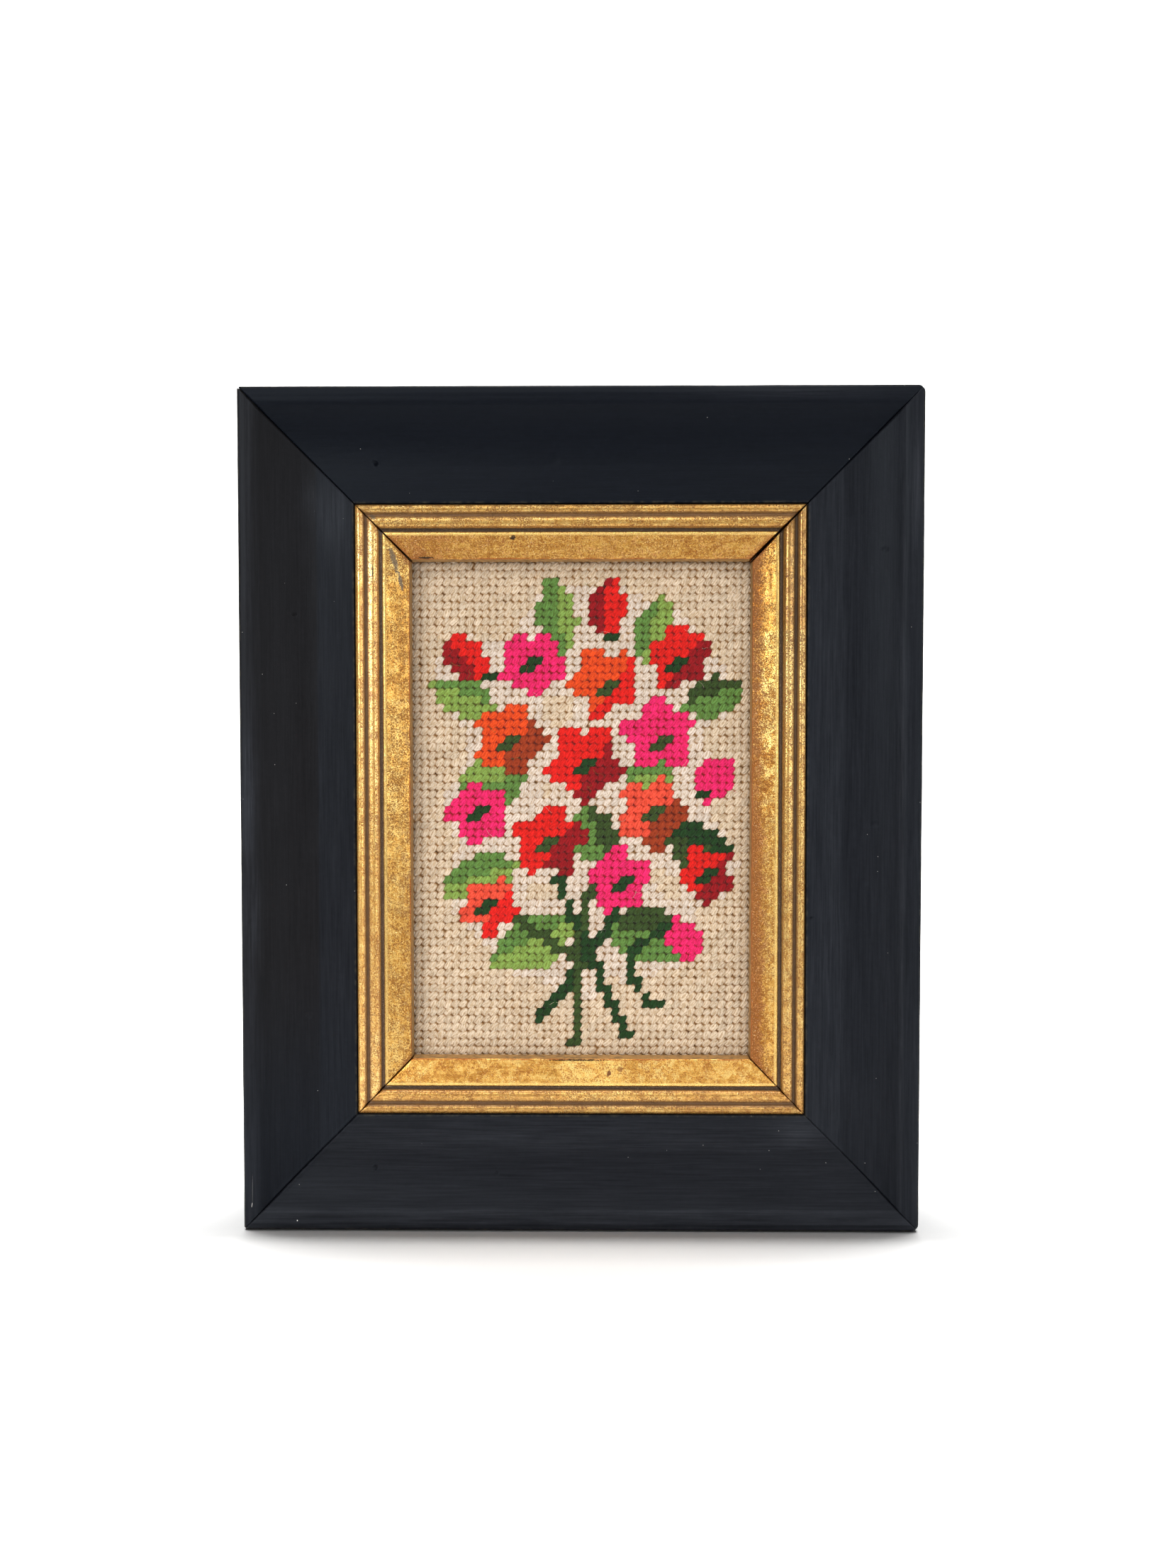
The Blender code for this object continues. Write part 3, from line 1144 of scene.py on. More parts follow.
def paint_finish(settings):
    """Brushed blue-black satin paint, greyed where it is worn and lightened by painted sheen, with
    dust and grime.
    """
    made = Finish("black_paint")
    inward = made.attribute("inward")
    broad = made.brushed(0.030, 0.22)
    strokes = made.brushed(0.045, 1.5, 4.0, 0.62, 0.4)
    fine = made.brushed(0.25, 5.5)
    mottle = made.noise(made.place, 0.55, 4.0, 0.6)
    grit = made.noise(made.place, 3.2)
    dust = made.specks(made.place, 0.33, 0.16, 0.045)

    _, back, _ = made.parts(made.place)
    edge = made.near(inward, OUTER_EDGE, 0.55, 0.05) * made.smooth(back, *EDGE_REACH)
    inner = made.smooth(inward, *INNER_EDGE)
    rubbed = made.clamp((edge + 0.7 * inner) * made.smooth(mottle, 0.42, 0.70))
    streaky = 0.60 + 1.60 * (strokes - 0.5) + 0.80 * (broad - 0.3)
    # Grey is partly wear and partly painted sheen: each rail, its flat band and its arris lighter
    # or darker as the light falls
    grey = made.clamp(made.attribute("wear") * streaky)
    shade = 0.80 + 0.24 * broad + 0.50 * (strokes - 0.5) + 0.30 * (mottle - 0.5)
    colour = made.blend(made.attribute("fade"), settings.paint_colour, settings.faded_colour)
    colour = made.tint(made.blend(grey, colour, settings.worn_and_lit_colour), shade)
    colour = made.blend(rubbed * 0.60, colour, RUBBED_PAINT)
    colour = made.blend(dust * 0.75, colour, DUST)
    colour = made.marked(colour, PAINT_MARKS, 1.6 * (grit - 0.5))
    height = 0.55 * strokes + 0.22 * fine + 0.12 * grit + 0.35 * dust
    varied = {
        "Base Color": colour,
        "Roughness": 0.40 + 0.14 * mottle + 0.10 * rubbed + 0.14 * (strokes - 0.5),
        "Normal": made.bump(height, 0.00009, 0.75),
    }
    fixed = {"Specular IOR Level": 0.11, "Specular Tint": (0.80, 0.90, 1.0, 1.0)}
    return made.surface(varied, fixed)


def wood_finish(settings):
    """Bare softwood, with its grain along the rail."""
    made = Finish("bare_wood")
    grain = made.brushed(0.010, 0.55, 4.0, 0.6, 1.2)
    pores = made.brushed(0.12, 3.2)
    stain = made.noise(made.place, 0.045, 3.0, 0.6)
    shade = 0.70 + 0.30 * grain + 0.22 * (pores - 0.5) + 0.30 * (stain - 0.5)
    dark = tuple(channel * 0.62 for channel in settings.wood_colour)
    colour = made.blend(made.smooth(grain, 0.66, 0.36), settings.wood_colour, dark)
    varied = {
        "Base Color": made.tint(colour, shade),
        "Roughness": 0.62 + 0.2 * pores,
        "Normal": made.bump(0.6 * grain + 0.4 * pores, 0.00012, 0.6),
    }
    return made.surface(varied)


def gilt_finish(settings):
    """Old gold leaf on red clay: finely pitted, rubbed in places, with grime in the grooves."""
    made = Finish("gold_leaf")
    inward = made.attribute("inward")
    worn = made.attribute("rub")
    broad = made.noise(made.place, 0.075, 3.0, 0.6)
    blotch = made.noise(made.place, 0.42, 4.0, 0.62)
    patches = made.noise(made.object_place((1.0, 1.0, 1.3)), 0.21, 3.0, 0.7, 0.6)
    islands = made.noise(made.place, 0.42, 5.0, 0.62, 0.5)
    grain = made.noise(made.place, 1.5, 2.0, 0.60, 0.8)
    pitting = made.noise(made.place, 2.5, 2.0, 0.55, 0.3)
    fine = made.noise(made.place, 3.8, 2.0, 0.6)
    strokes = made.brushed(0.09, 1.6, 4.0, 0.65)

    # Each sheet of leaf has a tone of its own
    run, _, _ = made.parts(made.layout_place())
    lap = made.math("FLOOR", (run + LEAF_START + 1.6 * (blotch - 0.5)) * (1 / LEAF_SHEET))
    random_tone = made.node("ShaderNodeTexWhiteNoise", {"noise_dimensions": "1D"}, {"W": lap})
    sheet = made.value(random_tone.outputs["Value"]) - 0.5

    # How thick the leaf is, from clay showing through to its brightest
    grainy = (0.85 + 3.0 * worn) * (grain - 0.5)
    tone = 0.57 + 0.70 * (blotch - 0.5) + grainy + 0.45 * (fine - 0.5)
    tone = tone + 0.55 * (strokes - 0.5) + 0.30 * (broad - 0.5) + 0.30 * sheet - 0.45 * worn
    tone = tone + made.attribute("islands") * (made.smooth(islands, 0.44, 0.56) - 0.55)
    thin, full = settings.thin_leaf_colour, settings.leaf_colour
    stops = (
        (0.18, tuple(thin)),
        (0.38, [0.5 * (a + b) for a, b in zip(thin, full)]),
        (0.55, tuple(full)),
        (0.86, tuple(settings.bright_leaf_colour)),
    )
    leaf = made.node("ShaderNodeValToRGB", {"stops": stops}, {"Fac": made.clamp(tone)})

    # Pits, fine cracks between them, and painted glints where there are none
    rubbed = made.math("MAXIMUM", worn, 0.0)
    dense = 0.30 * (patches - 0.5) - 0.07 * sheet - 0.30 * rubbed
    pits = made.smooth(pitting + dense, 0.465, 0.410)
    veins = made.near(grain, 0.50, 0.045, 0.015)
    pits = made.clamp(pits + 0.9 * veins * made.smooth(patches - rubbed, 0.54, 0.44))
    painted_glints = made.smooth(fine, 0.60, 0.66) * made.smooth(pitting, 0.52, 0.58)

    # Parts of the face, with wandering borders
    wobbly = inward + 0.50 * (strokes - 0.5) + 0.60 * (grain - 0.5)
    groove = made.near(wobbly, GROOVE, 1.15, 0.15)
    quirk = made.near(0.7 * inward + 0.3 * wobbly, QUIRK, 0.70, 0.40)
    off_outer = made.near(wobbly, OUTER_BEAD, 0.60, 1.25)
    off_inner = made.near(wobbly, INNER_BEAD, 0.90, 1.60)
    beads = made.smooth(inward, *BEADS_END)
    # Painted shade on the flanks of the beads, darker and browner away from their crests
    edge_shade = made.math("MINIMUM", off_outer, off_inner) * beads
    seam = made.smooth(inward, *SEAM_REACH)
    beside = made.near(wobbly, HIGHLIGHT_LINE, 0.65, 0.20)
    corner = made.smooth(inward, *SIGHT_CORNER)
    wall = made.smooth(inward, *SIGHT_WALL)
    rub = made.smooth(0.5 * blotch + 0.3 * grain + 0.2 * fine + worn, 0.56, 0.70)

    bole = made.tint(tuple(settings.bole_colour), 0.45 + 1.1 * grain)
    dirty = 1.3 * fine + 0.9 * blotch + 1.1 * strokes - 0.50
    patina = made.tint(tuple(settings.patina_colour), dirty)
    shadowed = made.tint(tuple(settings.quirk_colour), 0.45 + 1.1 * strokes)
    shadowed = made.blend(made.smooth(fine, 0.56, 0.66) * 0.6, shadowed, QUIRK_DUST)
    side = made.tint(WALL_GILT, 0.20 + 1.5 * strokes)
    side = made.blend(made.smooth(blotch + 0.5 * strokes, 0.70, 0.92) * 0.6, side, WALL_STAIN)
    layers = (
        # where each colour lies over what is under it, and the colour
        (rub * 0.80, bole),
        (pits * 0.85, settings.pit_colour),
        (edge_shade * (0.25 + 0.7 * strokes), BEAD_FLANK_SHADE),
        # Painted highlight along the rounded edge of the band beside the quirk
        (beside * (0.35 + 0.5 * grain), settings.bright_leaf_colour),
        (painted_glints * 0.55, PAINTED_GLINT),
        (corner * made.smooth(strokes, 0.62, 0.42) * 0.85, bole),
        (wall, side),
        (made.clamp(groove * (0.62 + 0.7 * strokes)), patina),
        (quirk, shadowed),
    )
    colour = leaf.outputs["Color"]
    for mask, upper in layers:
        colour = made.blend(mask, colour, upper)
    # The tone attribute is partly painted light: each side of the liner lighter or darker as the
    # light falls on it
    colour = made.tint(colour, made.attribute("tone"))
    colour = made.blend(seam, colour, SEAM_DARK)
    colour = made.marked(colour, BLEMISHES, 3.2 * (grain - 0.5) + 1.6 * (fine - 0.5))
    dull = made.clamp(0.8 * groove + quirk + seam + wall + 0.6 * rub + 0.6 * pits)
    height = 0.40 * grain + 0.30 * blotch + 0.35 * fine + 0.25 * strokes - 0.40 * pits
    varied = {
        "Base Color": colour,
        "Roughness": 0.24 + 0.36 * dull + 0.14 * (grain - 0.5),
        "Metallic": 0.66 * (1.0 - dull),
        "Coat Weight": beads * (1.0 - dull) * made.attribute("polish"),
        "Normal": made.bump(height, 0.00006, 0.9),
    }
    fixed = {
        "Specular IOR Level": 0.36,
        "Specular Tint": (1.0, 0.89, 0.72, 1.0),
        "Coat Roughness": 0.22,
    }
    return made.surface(varied, fixed)


def wool_finish(yarn, colour):
    """Twisted wool: fine fibres along the twist, with painted shade between plies and fibres,
    painted shadow of the liner along the left and top edges, and painted shade, browner, where it
    dips.
    """
    made = Finish(f"wool_{yarn}")
    strand = made.node("ShaderNodeUVMap", {"uv_map": "strand"}).outputs["UV"]
    shade = made.attribute("shade")
    along, around, _ = made.parts(strand)
    drawn_out = {"X": along * 0.9, "Y": around * 21.0, "Z": shade * 90.0}
    moved = made.node("ShaderNodeCombineXYZ", None, drawn_out)
    fibres = made.noise(moved.outputs[0], 1.0, 2.0, 0.60, 0.3)
    fuzz = made.noise(made.place, 4.5, 2.0, 0.6)
    cloudy = made.noise(made.place, 0.05, 3.0, 0.6)
    ply = made.math("SINE", around * (2 * math.pi * PLIES) + (fibres - 0.5) * 3.2)
    across, back, up = made.parts(made.place)
    # Painted shadow of the liner along the left and top edges of the sight: darker, duller wool
    edge_shade = 0.75 * made.smooth(across, *LEFT_EDGE_SHADOW) + 0.55 * made.smooth(up, *TOP_EDGE_SHADOW)
    edge_shadow = made.clamp(edge_shade * (0.35 + cloudy))
    # Painted shade in the hollows between stitches, darker and browner where the wool dips
    painted_hollow_shade = made.smooth(back + 0.25 * (fuzz - 0.5), *HOLLOW_SHADE_DEPTHS)
    tone = shade * (0.96 + 0.08 * ply) * (0.86 + 0.28 * fuzz) * (0.94 + 0.12 * cloudy)
    shadowed_edge_colour = tuple(channel * 0.55 + 0.02 for channel in colour)
    hollow_shade_colour = tuple(channel * share for channel, share in zip(colour, (0.45, 0.28, 0.12)))
    mixed = made.blend(edge_shadow * 0.75, colour, shadowed_edge_colour)
    shaded = made.vector("MULTIPLY", mixed, (0.70, 0.61, 0.50))
    mixed = made.blend(made.smooth(fibres, 0.58, 0.38), mixed, shaded)
    mixed = made.blend(painted_hollow_shade, mixed, hollow_shade_colour)
    varied = {
        "Base Color": made.tint(mixed, tone),
        "Roughness": 0.82 + 0.12 * fibres,
        "Normal": made.bump(0.55 * fibres + 0.22 * ply + 0.15 * fuzz, 0.00030, 0.9),
    }
    fixed = {"Sheen Weight": 0.14, "Sheen Roughness": 0.5, "Specular IOR Level": 0.15}
    return made.surface(varied, fixed)


def canvas_finish():
    """Cotton canvas, brown with age between the stitches."""
    made = Finish("canvas_threads")
    threads = made.noise(made.place, 2.4, 3.0, 0.6)
    dirt = made.noise(made.place, 0.12, 3.0, 0.6)
    colour = made.blend(made.smooth(dirt, 0.35, 0.7), CANVAS_DARK, CANVAS_PALE)
    varied = {
        "Base Color": made.tint(colour, 0.6 + 0.8 * threads),
        "Roughness": 0.85 + 0.1 * threads,
        "Normal": made.bump(threads, 0.0003),
    }
    return made.surface(varied)


def board_finish():
    """Pressed wood fibre."""
    made = Finish("fibre_board")
    fibres = made.noise(made.object_place((0.35, 1.0, 2.4)), 1.0, 4.0, 0.7, 0.8)
    crossed = made.noise(made.object_place((2.1, 1.0, 0.40)), 1.0, 4.0, 0.7, 0.8)
    cloudy = made.noise(made.place, 0.03, 3.0, 0.6)
    flecks = made.smooth(made.noise(made.place, 1.4), 0.66, 0.74)
    shade = 0.55 + 0.40 * fibres + 0.30 * crossed + 0.35 * (cloudy - 0.5)
    varied = {
        "Base Color": made.blend(flecks * 0.6, made.tint(BOARD_BROWN, shade), BOARD_FLECK),
        "Roughness": 0.72 + 0.15 * fibres,
        "Normal": made.bump(0.5 * fibres + 0.5 * crossed, 0.00012, 0.7),
    }
    return made.surface(varied)


def sheet_finish():
    """The matt white sheet of the stage."""
    made = Finish("white_sheet")
    mottle = made.noise(made.place, 0.01)
    colour = made.tint(SHEET_WHITE, 0.99 + 0.02 * mottle)
    return made.surface({"Base Color": colour}, {"Roughness": 0.9})


# Needlepoint chart


def work_chart():
    """The yarn of every visible stitch, row by row, for a posy of garden flowers."""
    chart = [["cream"] * COLUMNS for _ in range(ROWS)]
    for leaf in LEAVES:
        work_leaf(chart, *leaf)
    for stem in STEMS:
        work_stem(chart, *stem)
    for bud in BUDS:
        work_bud(chart, *bud)
    for blossom in BLOSSOMS:
        work_blossom(chart, *blossom)
    crowded = [place for place in chart_places() if is_crowded(chart, *place)]
    for column, row in crowded:
        chart[row][column] = "ivory"
    return chart


def chart_places():
    return [(column, row) for row in range(ROWS) for column in range(COLUMNS)]


def is_crowded(chart, column, row):
    """Whether a ground stitch lies between the flowers, where the paler yarn is used."""
    if chart[row][column] != "cream":
        return False
    rows = range(max(0, row - GROUND_REACH), min(ROWS, row + GROUND_REACH + 1))
    columns = range(max(0, column - GROUND_REACH), min(COLUMNS, column + GROUND_REACH + 1))
    return sum(chart[y][x] != "cream" for y in rows for x in columns) > GROUND_CROWD


def put(chart, column, row, yarn):
    if 0 <= column < COLUMNS and 0 <= row < ROWS:
        chart[row][column] = yarn


def turned(dx, dy, heading):
    """How far a place lies along a heading, and to its side."""
    angle = math.radians(heading)
    ahead = (math.sin(angle), -math.cos(angle))
    return dx * ahead[0] + dy * ahead[1], dx * ahead[1] - dy * ahead[0]


def work_stem(chart, start, bend, end, yarn):
    """A stem one stitch wide that curves past its bend."""
    for step in range(STEM_STEPS + 1):
        share = step / STEM_STEPS
        weights = ((1 - share) ** 2, 2 * share * (1 - share), share**2)
        column = sum(weight * point[0] for weight, point in zip(weights, (start, bend, end)))
        row = sum(weight * point[1] for weight, point in zip(weights, (start, bend, end)))
        put(chart, round(column), round(row), yarn)


def work_leaf(chart, column, row, length, width, heading, light, dark):
    """A pointed leaf, fullest below its middle, darker on one side of its vein."""
    for x, y in chart_places():
        ahead, aside = turned(x - column, y - row, heading)
        share = ahead / length
        if not 0 <= share <= 1:
            continue
        if abs(aside) <= width / 2 * math.sin(math.pi * share**0.8) ** 0.75:
            shaded = aside * (1 if heading > 0 else -1) > LEAF_DARK
            put(chart, x, y, dark if shaded else light)


def work_blossom(chart, column, row, radius, turn, light, dark, eye):
    """A round flower of five petals, darker to its lower right, with an eye of four stitches."""
    for x, y in chart_places():
        dx, dy = x - column, y - row
        angle = math.atan2(dy, dx) - math.radians(turn)
        if math.hypot(dx, dy) <= radius * (1 - PETAL_LOBE + PETAL_LOBE * math.cos(PETALS * angle)):
            shaded = dx * DARK_SIDE[0] + dy * DARK_SIDE[1] > BLOSSOM_DARK * radius
            put(chart, x, y, dark if shaded else light)
    for dx, dy in EYE:
        put(chart, round(column) + dx, round(row) + dy, eye)


def work_bud(chart, column, row, half_length, half_width, lean, light, dark):
    """An oval bud, darker on one side, with two green stitches at its foot."""
    for x, y in chart_places():
        ahead, aside = turned(x - column, y - row, lean)
        if (ahead / half_length) ** 2 + (aside / half_width) ** 2 <= 1:
            put(chart, x, y, dark if aside > BUD_DARK else light)
    angle = math.radians(lean)
    foot_column = round(column - math.sin(angle) * half_length)
    foot_row = round(row + math.cos(angle) * half_length)
    for step in (0, 1):
        put(chart, foot_column + step, foot_row, "pine")


# Stitches

PLIES = 9
STITCH_RINGS = 7
STITCH_AROUND = 12
STITCH_TWISTS = (-12, 14, 2, 24, 8)

# Shape of a stitch: how much fuller than an ellipse its section is, how much its three lobes
# stand out, its width and thickness at its ends as shares of those at its middle, how sharply
# the ends draw in, its sag in millimetres, and half its length in the strand's layout
SECTION_SQUARE = 0.92
LOBES = 3
LOBE_HEIGHT = 0.05
END_WIDTH = 0.30
END_THICKNESS = 0.26
END_POWER = 5
MOST_SAG = 0.10
STRAND_HALF = 1.7

# Depth in the frame of the stitches' crests, of the canvas's front and back, and of its holes
CREST_BACK = 0.00022
CANVAS_FRONT = 0.00145
CANVAS_BACK = 0.00225
HOLE_DEPTH = 0.00015

# How far a stitch may stray from its place, in millimetres across, back and up
STITCH_STRAY = (0.09, 0.07, 0.08)

# A stray fibre: forms, joints, sides, radius, its share at the tips, step between joints, first
# heading, most bend at a joint and most drift in depth
FIBRE_FORMS = 5
FIBRE_JOINTS = 7
FIBRE_SIDES = 3
FIBRE_RADIUS = 0.000032
FIBRE_TIP = 0.35
FIBRE_STEP = 0.00055
FIBRE_HEADING = 1.1
FIBRE_BEND = 0.75
FIBRE_DRIFT = 0.00010

# How much fibres differ in size and shade, how far one's yarn may be from the stitch under it,
# and the yarns that have fibres of their own, where the others have green ones
FIBRE_SIZE_SPREAD = 0.3
FIBRE_SHADE_SPREAD = 0.1
FIBRE_STRAY = 0.6
FIBRE_YARNS = ("cream", "ivory", "pink", "red", "coral")


def stitch_place(column, row, back=0.0):
    """The middle of a stitch on the canvas."""
    across = (column + 0.5) / COLUMNS - 0.5
    down = (row + 0.5) / ROWS - 0.5
    return Vector((across * SIGHT_WIDTH, back, FRAME_HEIGHT / 2 - down * SIGHT_HEIGHT))


def squared(part):
    """A sine or cosine moved outwards, so that a section is fuller than an ellipse."""
    return math.copysign(abs(part) ** SECTION_SQUARE, part)


def ring_share(ring):
    """How far a ring lies from a stitch's middle, from -1 to 1, closer together at the ends."""
    return math.sin(math.pi * (ring / (STITCH_RINGS - 1) - 0.5))


def stitch_form(name, settings, number):
    """A plump slanted stitch that fills its place in the row and dips behind at both ends."""
    twist = math.radians(STITCH_TWISTS[number])
    phase = 2 * math.pi * number / (len(STITCH_TWISTS) * PLIES)
    sag = random.Random(number + 40).uniform(-MOST_SAG, MOST_SAG) * MM
    rings = []
    bm = bmesh.new()
    layer = bm.loops.layers.uv.new("strand")
    for ring in range(STITCH_RINGS):
        share = ring_share(ring)
        rise = share * settings.length / 2
        full = max(0.0, 1 - abs(share) ** END_POWER) ** 0.5
        half_width = settings.width / 2 * (END_WIDTH + (1 - END_WIDTH) * full)
        half_thick = settings.thickness / 2 * (END_THICKNESS + (1 - END_THICKNESS) * full)
        across = rise / math.tan(settings.lean) + sag * (1 - share * share)
        back = settings.thickness / 2 + CREST_BACK + settings.arch * abs(share) ** END_POWER
        points = []
        for index in range(STITCH_AROUND):
            angle = 2 * math.pi * (index + 0.5) / STITCH_AROUND
            lobe = 1 + LOBE_HEIGHT * math.cos(LOBES * (angle - twist * share) + number)
            aside = half_width * lobe * squared(math.cos(angle))
            depth = half_thick * lobe * squared(math.sin(angle))
            off = Vector((aside, -depth, -settings.cut * aside))
            points.append(bm.verts.new(Vector((across, back, rise)) + off))
        rings.append(points)
    for ring, (first, second) in enumerate(zip(rings, rings[1:])):
        for index in range(STITCH_AROUND):
            after = (index + 1) % STITCH_AROUND
            face = bm.faces.new((first[index], first[after], second[after], second[index]))
            turns = [(ring, index), (ring, index + 1), (ring + 1, index + 1), (ring + 1, index)]
            for loop, (at_ring, at_index) in zip(face.loops, turns):
                share = ring_share(at_ring)
                around = at_index / STITCH_AROUND - twist * share / (2 * math.pi)
                along = STRAND_HALF * share + STRAND_HALF
                loop[layer].uv = (along, around + phase / (2 * math.pi))
    bm.faces.new(reversed(rings[0]))
    bm.faces.new(rings[-1])
    return thing_of(name, mesh_of(name, bm), 180)


def fibre_form(name, seed):
    """A stray wool fibre, a thin bent tube lying over the stitches."""
    rng = random.Random(seed)
    heading = Vector((math.cos(FIBRE_HEADING), 0.0, math.sin(FIBRE_HEADING)))
    place = Vector((0.0, 0.0, 0.0))
    bm = bmesh.new()
    rings = []
    for joint in range(FIBRE_JOINTS):
        aside = Vector((heading.z, 0.0, -heading.x))
        thin = FIBRE_RADIUS * (1.0 if 0 < joint < FIBRE_JOINTS - 1 else FIBRE_TIP)
        ring = []
        for index in range(FIBRE_SIDES):
            angle = 2 * math.pi * index / FIBRE_SIDES
            off = math.cos(angle) * aside + math.sin(angle) * Vector((0, 1, 0))
            ring.append(bm.verts.new(place + thin * off))
        rings.append(ring)
        bend = rng.uniform(-FIBRE_BEND, FIBRE_BEND)
        heading = Matrix.Rotation(bend, 3, "Y") @ heading
        drift = rng.uniform(-FIBRE_DRIFT, FIBRE_DRIFT)
        place = place + heading * FIBRE_STEP + Vector((0.0, drift, 0.0))
    for first, second in zip(rings, rings[1:]):
        for index in range(FIBRE_SIDES):
            after = (index + 1) % FIBRE_SIDES
            bm.faces.new((first[index], first[after], second[after], second[index]))
    bm.faces.new(rings[0])
    bm.faces.new(rings[-1])
    return thing_of(name, mesh_of(name, bm), 180)


# Geometry Nodes that set a small form on every point


def setting_tree():
    """Sets one of some forms on every point, each turned, sized and shaded a little at random."""
    tree = bpy.data.node_groups.new("set_forms_on_points", "GeometryNodeTree")
    tree.is_modifier = True
    sockets = (
        ("Points", "NodeSocketGeometry"),
        ("Forms", "NodeSocketCollection"),
        ("Form Count", "NodeSocketInt"),
        ("Turn Spread", "NodeSocketFloat"),
        ("Size Spread", "NodeSocketFloat"),
        ("Shade Spread", "NodeSocketFloat"),
        ("Seed", "NodeSocketInt"),
        ("Finish", "NodeSocketMaterial"),
    )
    for name, kind in sockets:
        tree.interface.new_socket(name, in_out="INPUT", socket_type=kind)
    tree.interface.new_socket("Geometry", in_out="OUTPUT", socket_type="NodeSocketGeometry")
    build = NodeBuilder(tree)
    given = build.node("NodeGroupInput").outputs
    forms = build.node(
        "GeometryNodeCollectionInfo",
        {"transform_space": "ORIGINAL"},
        {"Collection": given["Forms"], "Separate Children": True, "Reset Children": True},
    )
    seed = build.value(given["Seed"])
    last = build.value(given["Form Count"]) - 1
    bounds = {"Min_002": 0, "Max_002": last, "Seed": seed}
    choice = build.node("FunctionNodeRandomValue", {"data_type": "INT"}, bounds)
    jitter = {}
    for step, spread in enumerate(("Turn Spread", "Size Spread", "Shade Spread")):
        most = build.value(given[spread])
        made = build.node(
            "FunctionNodeRandomValue",
            {"data_type": "FLOAT"},
            {"Min_001": 0 - most, "Max_001": most, "Seed": seed + (step + 1)},
        )
        jitter[spread] = build.value(build.find(made.outputs, "Value_001"))
    rotation = build.node("ShaderNodeCombineXYZ", None, {"Y": jitter["Turn Spread"]})
    placed = build.node(
        "GeometryNodeInstanceOnPoints",
        None,
        {
            "Points": given["Points"],
            "Instance": forms.outputs[0],
            "Pick Instance": True,
            "Instance Index": build.find(choice.outputs, "Value_002"),
            "Rotation": rotation.outputs[0],
            "Scale": 1 + jitter["Size Spread"],
        },
    )
    shaded = build.node(
        "GeometryNodeStoreNamedAttribute",
        {"data_type": "FLOAT", "domain": "INSTANCE"},
        {"Geometry": placed.outputs[0], "Name": "shade", "Value": 1 + jitter["Shade Spread"]},
    )
    real = build.node("GeometryNodeRealizeInstances", None, {"Geometry": shaded.outputs[0]})
    dressed = build.node(
        "GeometryNodeSetMaterial", None, {"Geometry": real.outputs[0], "Material": given["Finish"]}
    )
    build.node("NodeGroupOutput", None, {"Geometry": dressed.outputs[0]})
    return tree


class Setter:
    """Sets forms on points with the Geometry Nodes tree, and keeps the plain mesh."""

    def __init__(self, forms, turn, size, shade):
        self.tree = setting_tree()
        self.collection = bpy.data.collections.new("forms")
        bpy.context.scene.collection.children.link(self.collection)
        for form in forms:
            bpy.context.scene.collection.objects.unlink(form)
            self.collection.objects.link(form)
        self.spreads = {"Turn Spread": turn, "Size Spread": size, "Shade Spread": shade}
        self.forms = forms

    def place(self, name, places, finish, seed):
        """A piece with a form on every place."""
        cloud = bpy.data.meshes.new(f"{name}_points")
        cloud.from_pydata([tuple(place) for place in places], [], [])
        host = linked(f"{name}_points", cloud)
        given = {
            "Forms": self.collection,
            "Form Count": len(self.forms),
            "Seed": seed,
            "Finish": finish,
            **self.spreads,
        }
        setter = host.modifiers.new("forms on points", "NODES")
        setter.node_group = self.tree
        for item in self.tree.interface.items_tree:
            if item.item_type == "SOCKET" and item.in_out == "INPUT" and item.name in given:
                setter[item.identifier] = given[item.name]
        graph = bpy.context.evaluated_depsgraph_get()
        made = host.evaluated_get(graph)
        mesh = bpy.data.meshes.new_from_object(
            made, preserve_all_data_layers=True, depsgraph=graph
        )
        host.modifiers.clear()
        bpy.data.objects.remove(host)
        bpy.data.meshes.remove(cloud)
        mesh.name = name
        return linked(name, mesh)

    def clear(self):
        for form in self.forms:
            bpy.data.objects.remove(form)
        bpy.data.collections.remove(self.collection)
        bpy.data.node_groups.remove(self.tree)


# Wear and painted light that the materials read

# Millimetres inward on the black rail: where the lip gives way to the scoop, the scoop to the
# flat band, and the arris's middle and reach
LIP_TO_SCOOP = (5.6, 4.2)
SCOOP_TO_FLAT = (22.6, 23.8)
ARRIS = (6.0, 0.8)

# Metres up the left rail over which it grows brown, and how brown it is below that
LEFT_BROWNING = (0.020, 0.090)
LEFT_LEAST_BROWN = 0.25

# Millimetres inward of the black rail where the liner's flat band starts
BAND_EDGE = (8.8, 9.4)


def paint_wear_and_light(side, inward, across, up):
    """How far the paint is greyed at a place on a rail, by wear and by painted sheen and light, and
    how far it has gone brown.
    """
    lip, arris, scoop, flat = SIDE_WEAR_AND_LIGHT[side]
    grey = scoop + (lip - scoop) * eased_step(*LIP_TO_SCOOP, inward)
    grey += (flat - scoop) * eased_step(*SCOOP_TO_FLAT, inward)
    grey += (arris - scoop) * hump(inward, *ARRIS)
    for rail, middle, height, reach_across, reach_up, strength in WORN_PLACES:
        if rail == side:
            grey += strength * hump(across, middle, reach_across) * hump(up, height, reach_up)
    brown, flat_brown = SIDE_FADE[side]
    brown += (flat_brown - brown) * eased_step(*SCOOP_TO_FLAT, inward)
    if side == "left":
        risen = eased_step(*LEFT_BROWNING, up)
        brown *= LEFT_LEAST_BROWN + (1 - LEFT_LEAST_BROWN) * risen
    return grey, brown


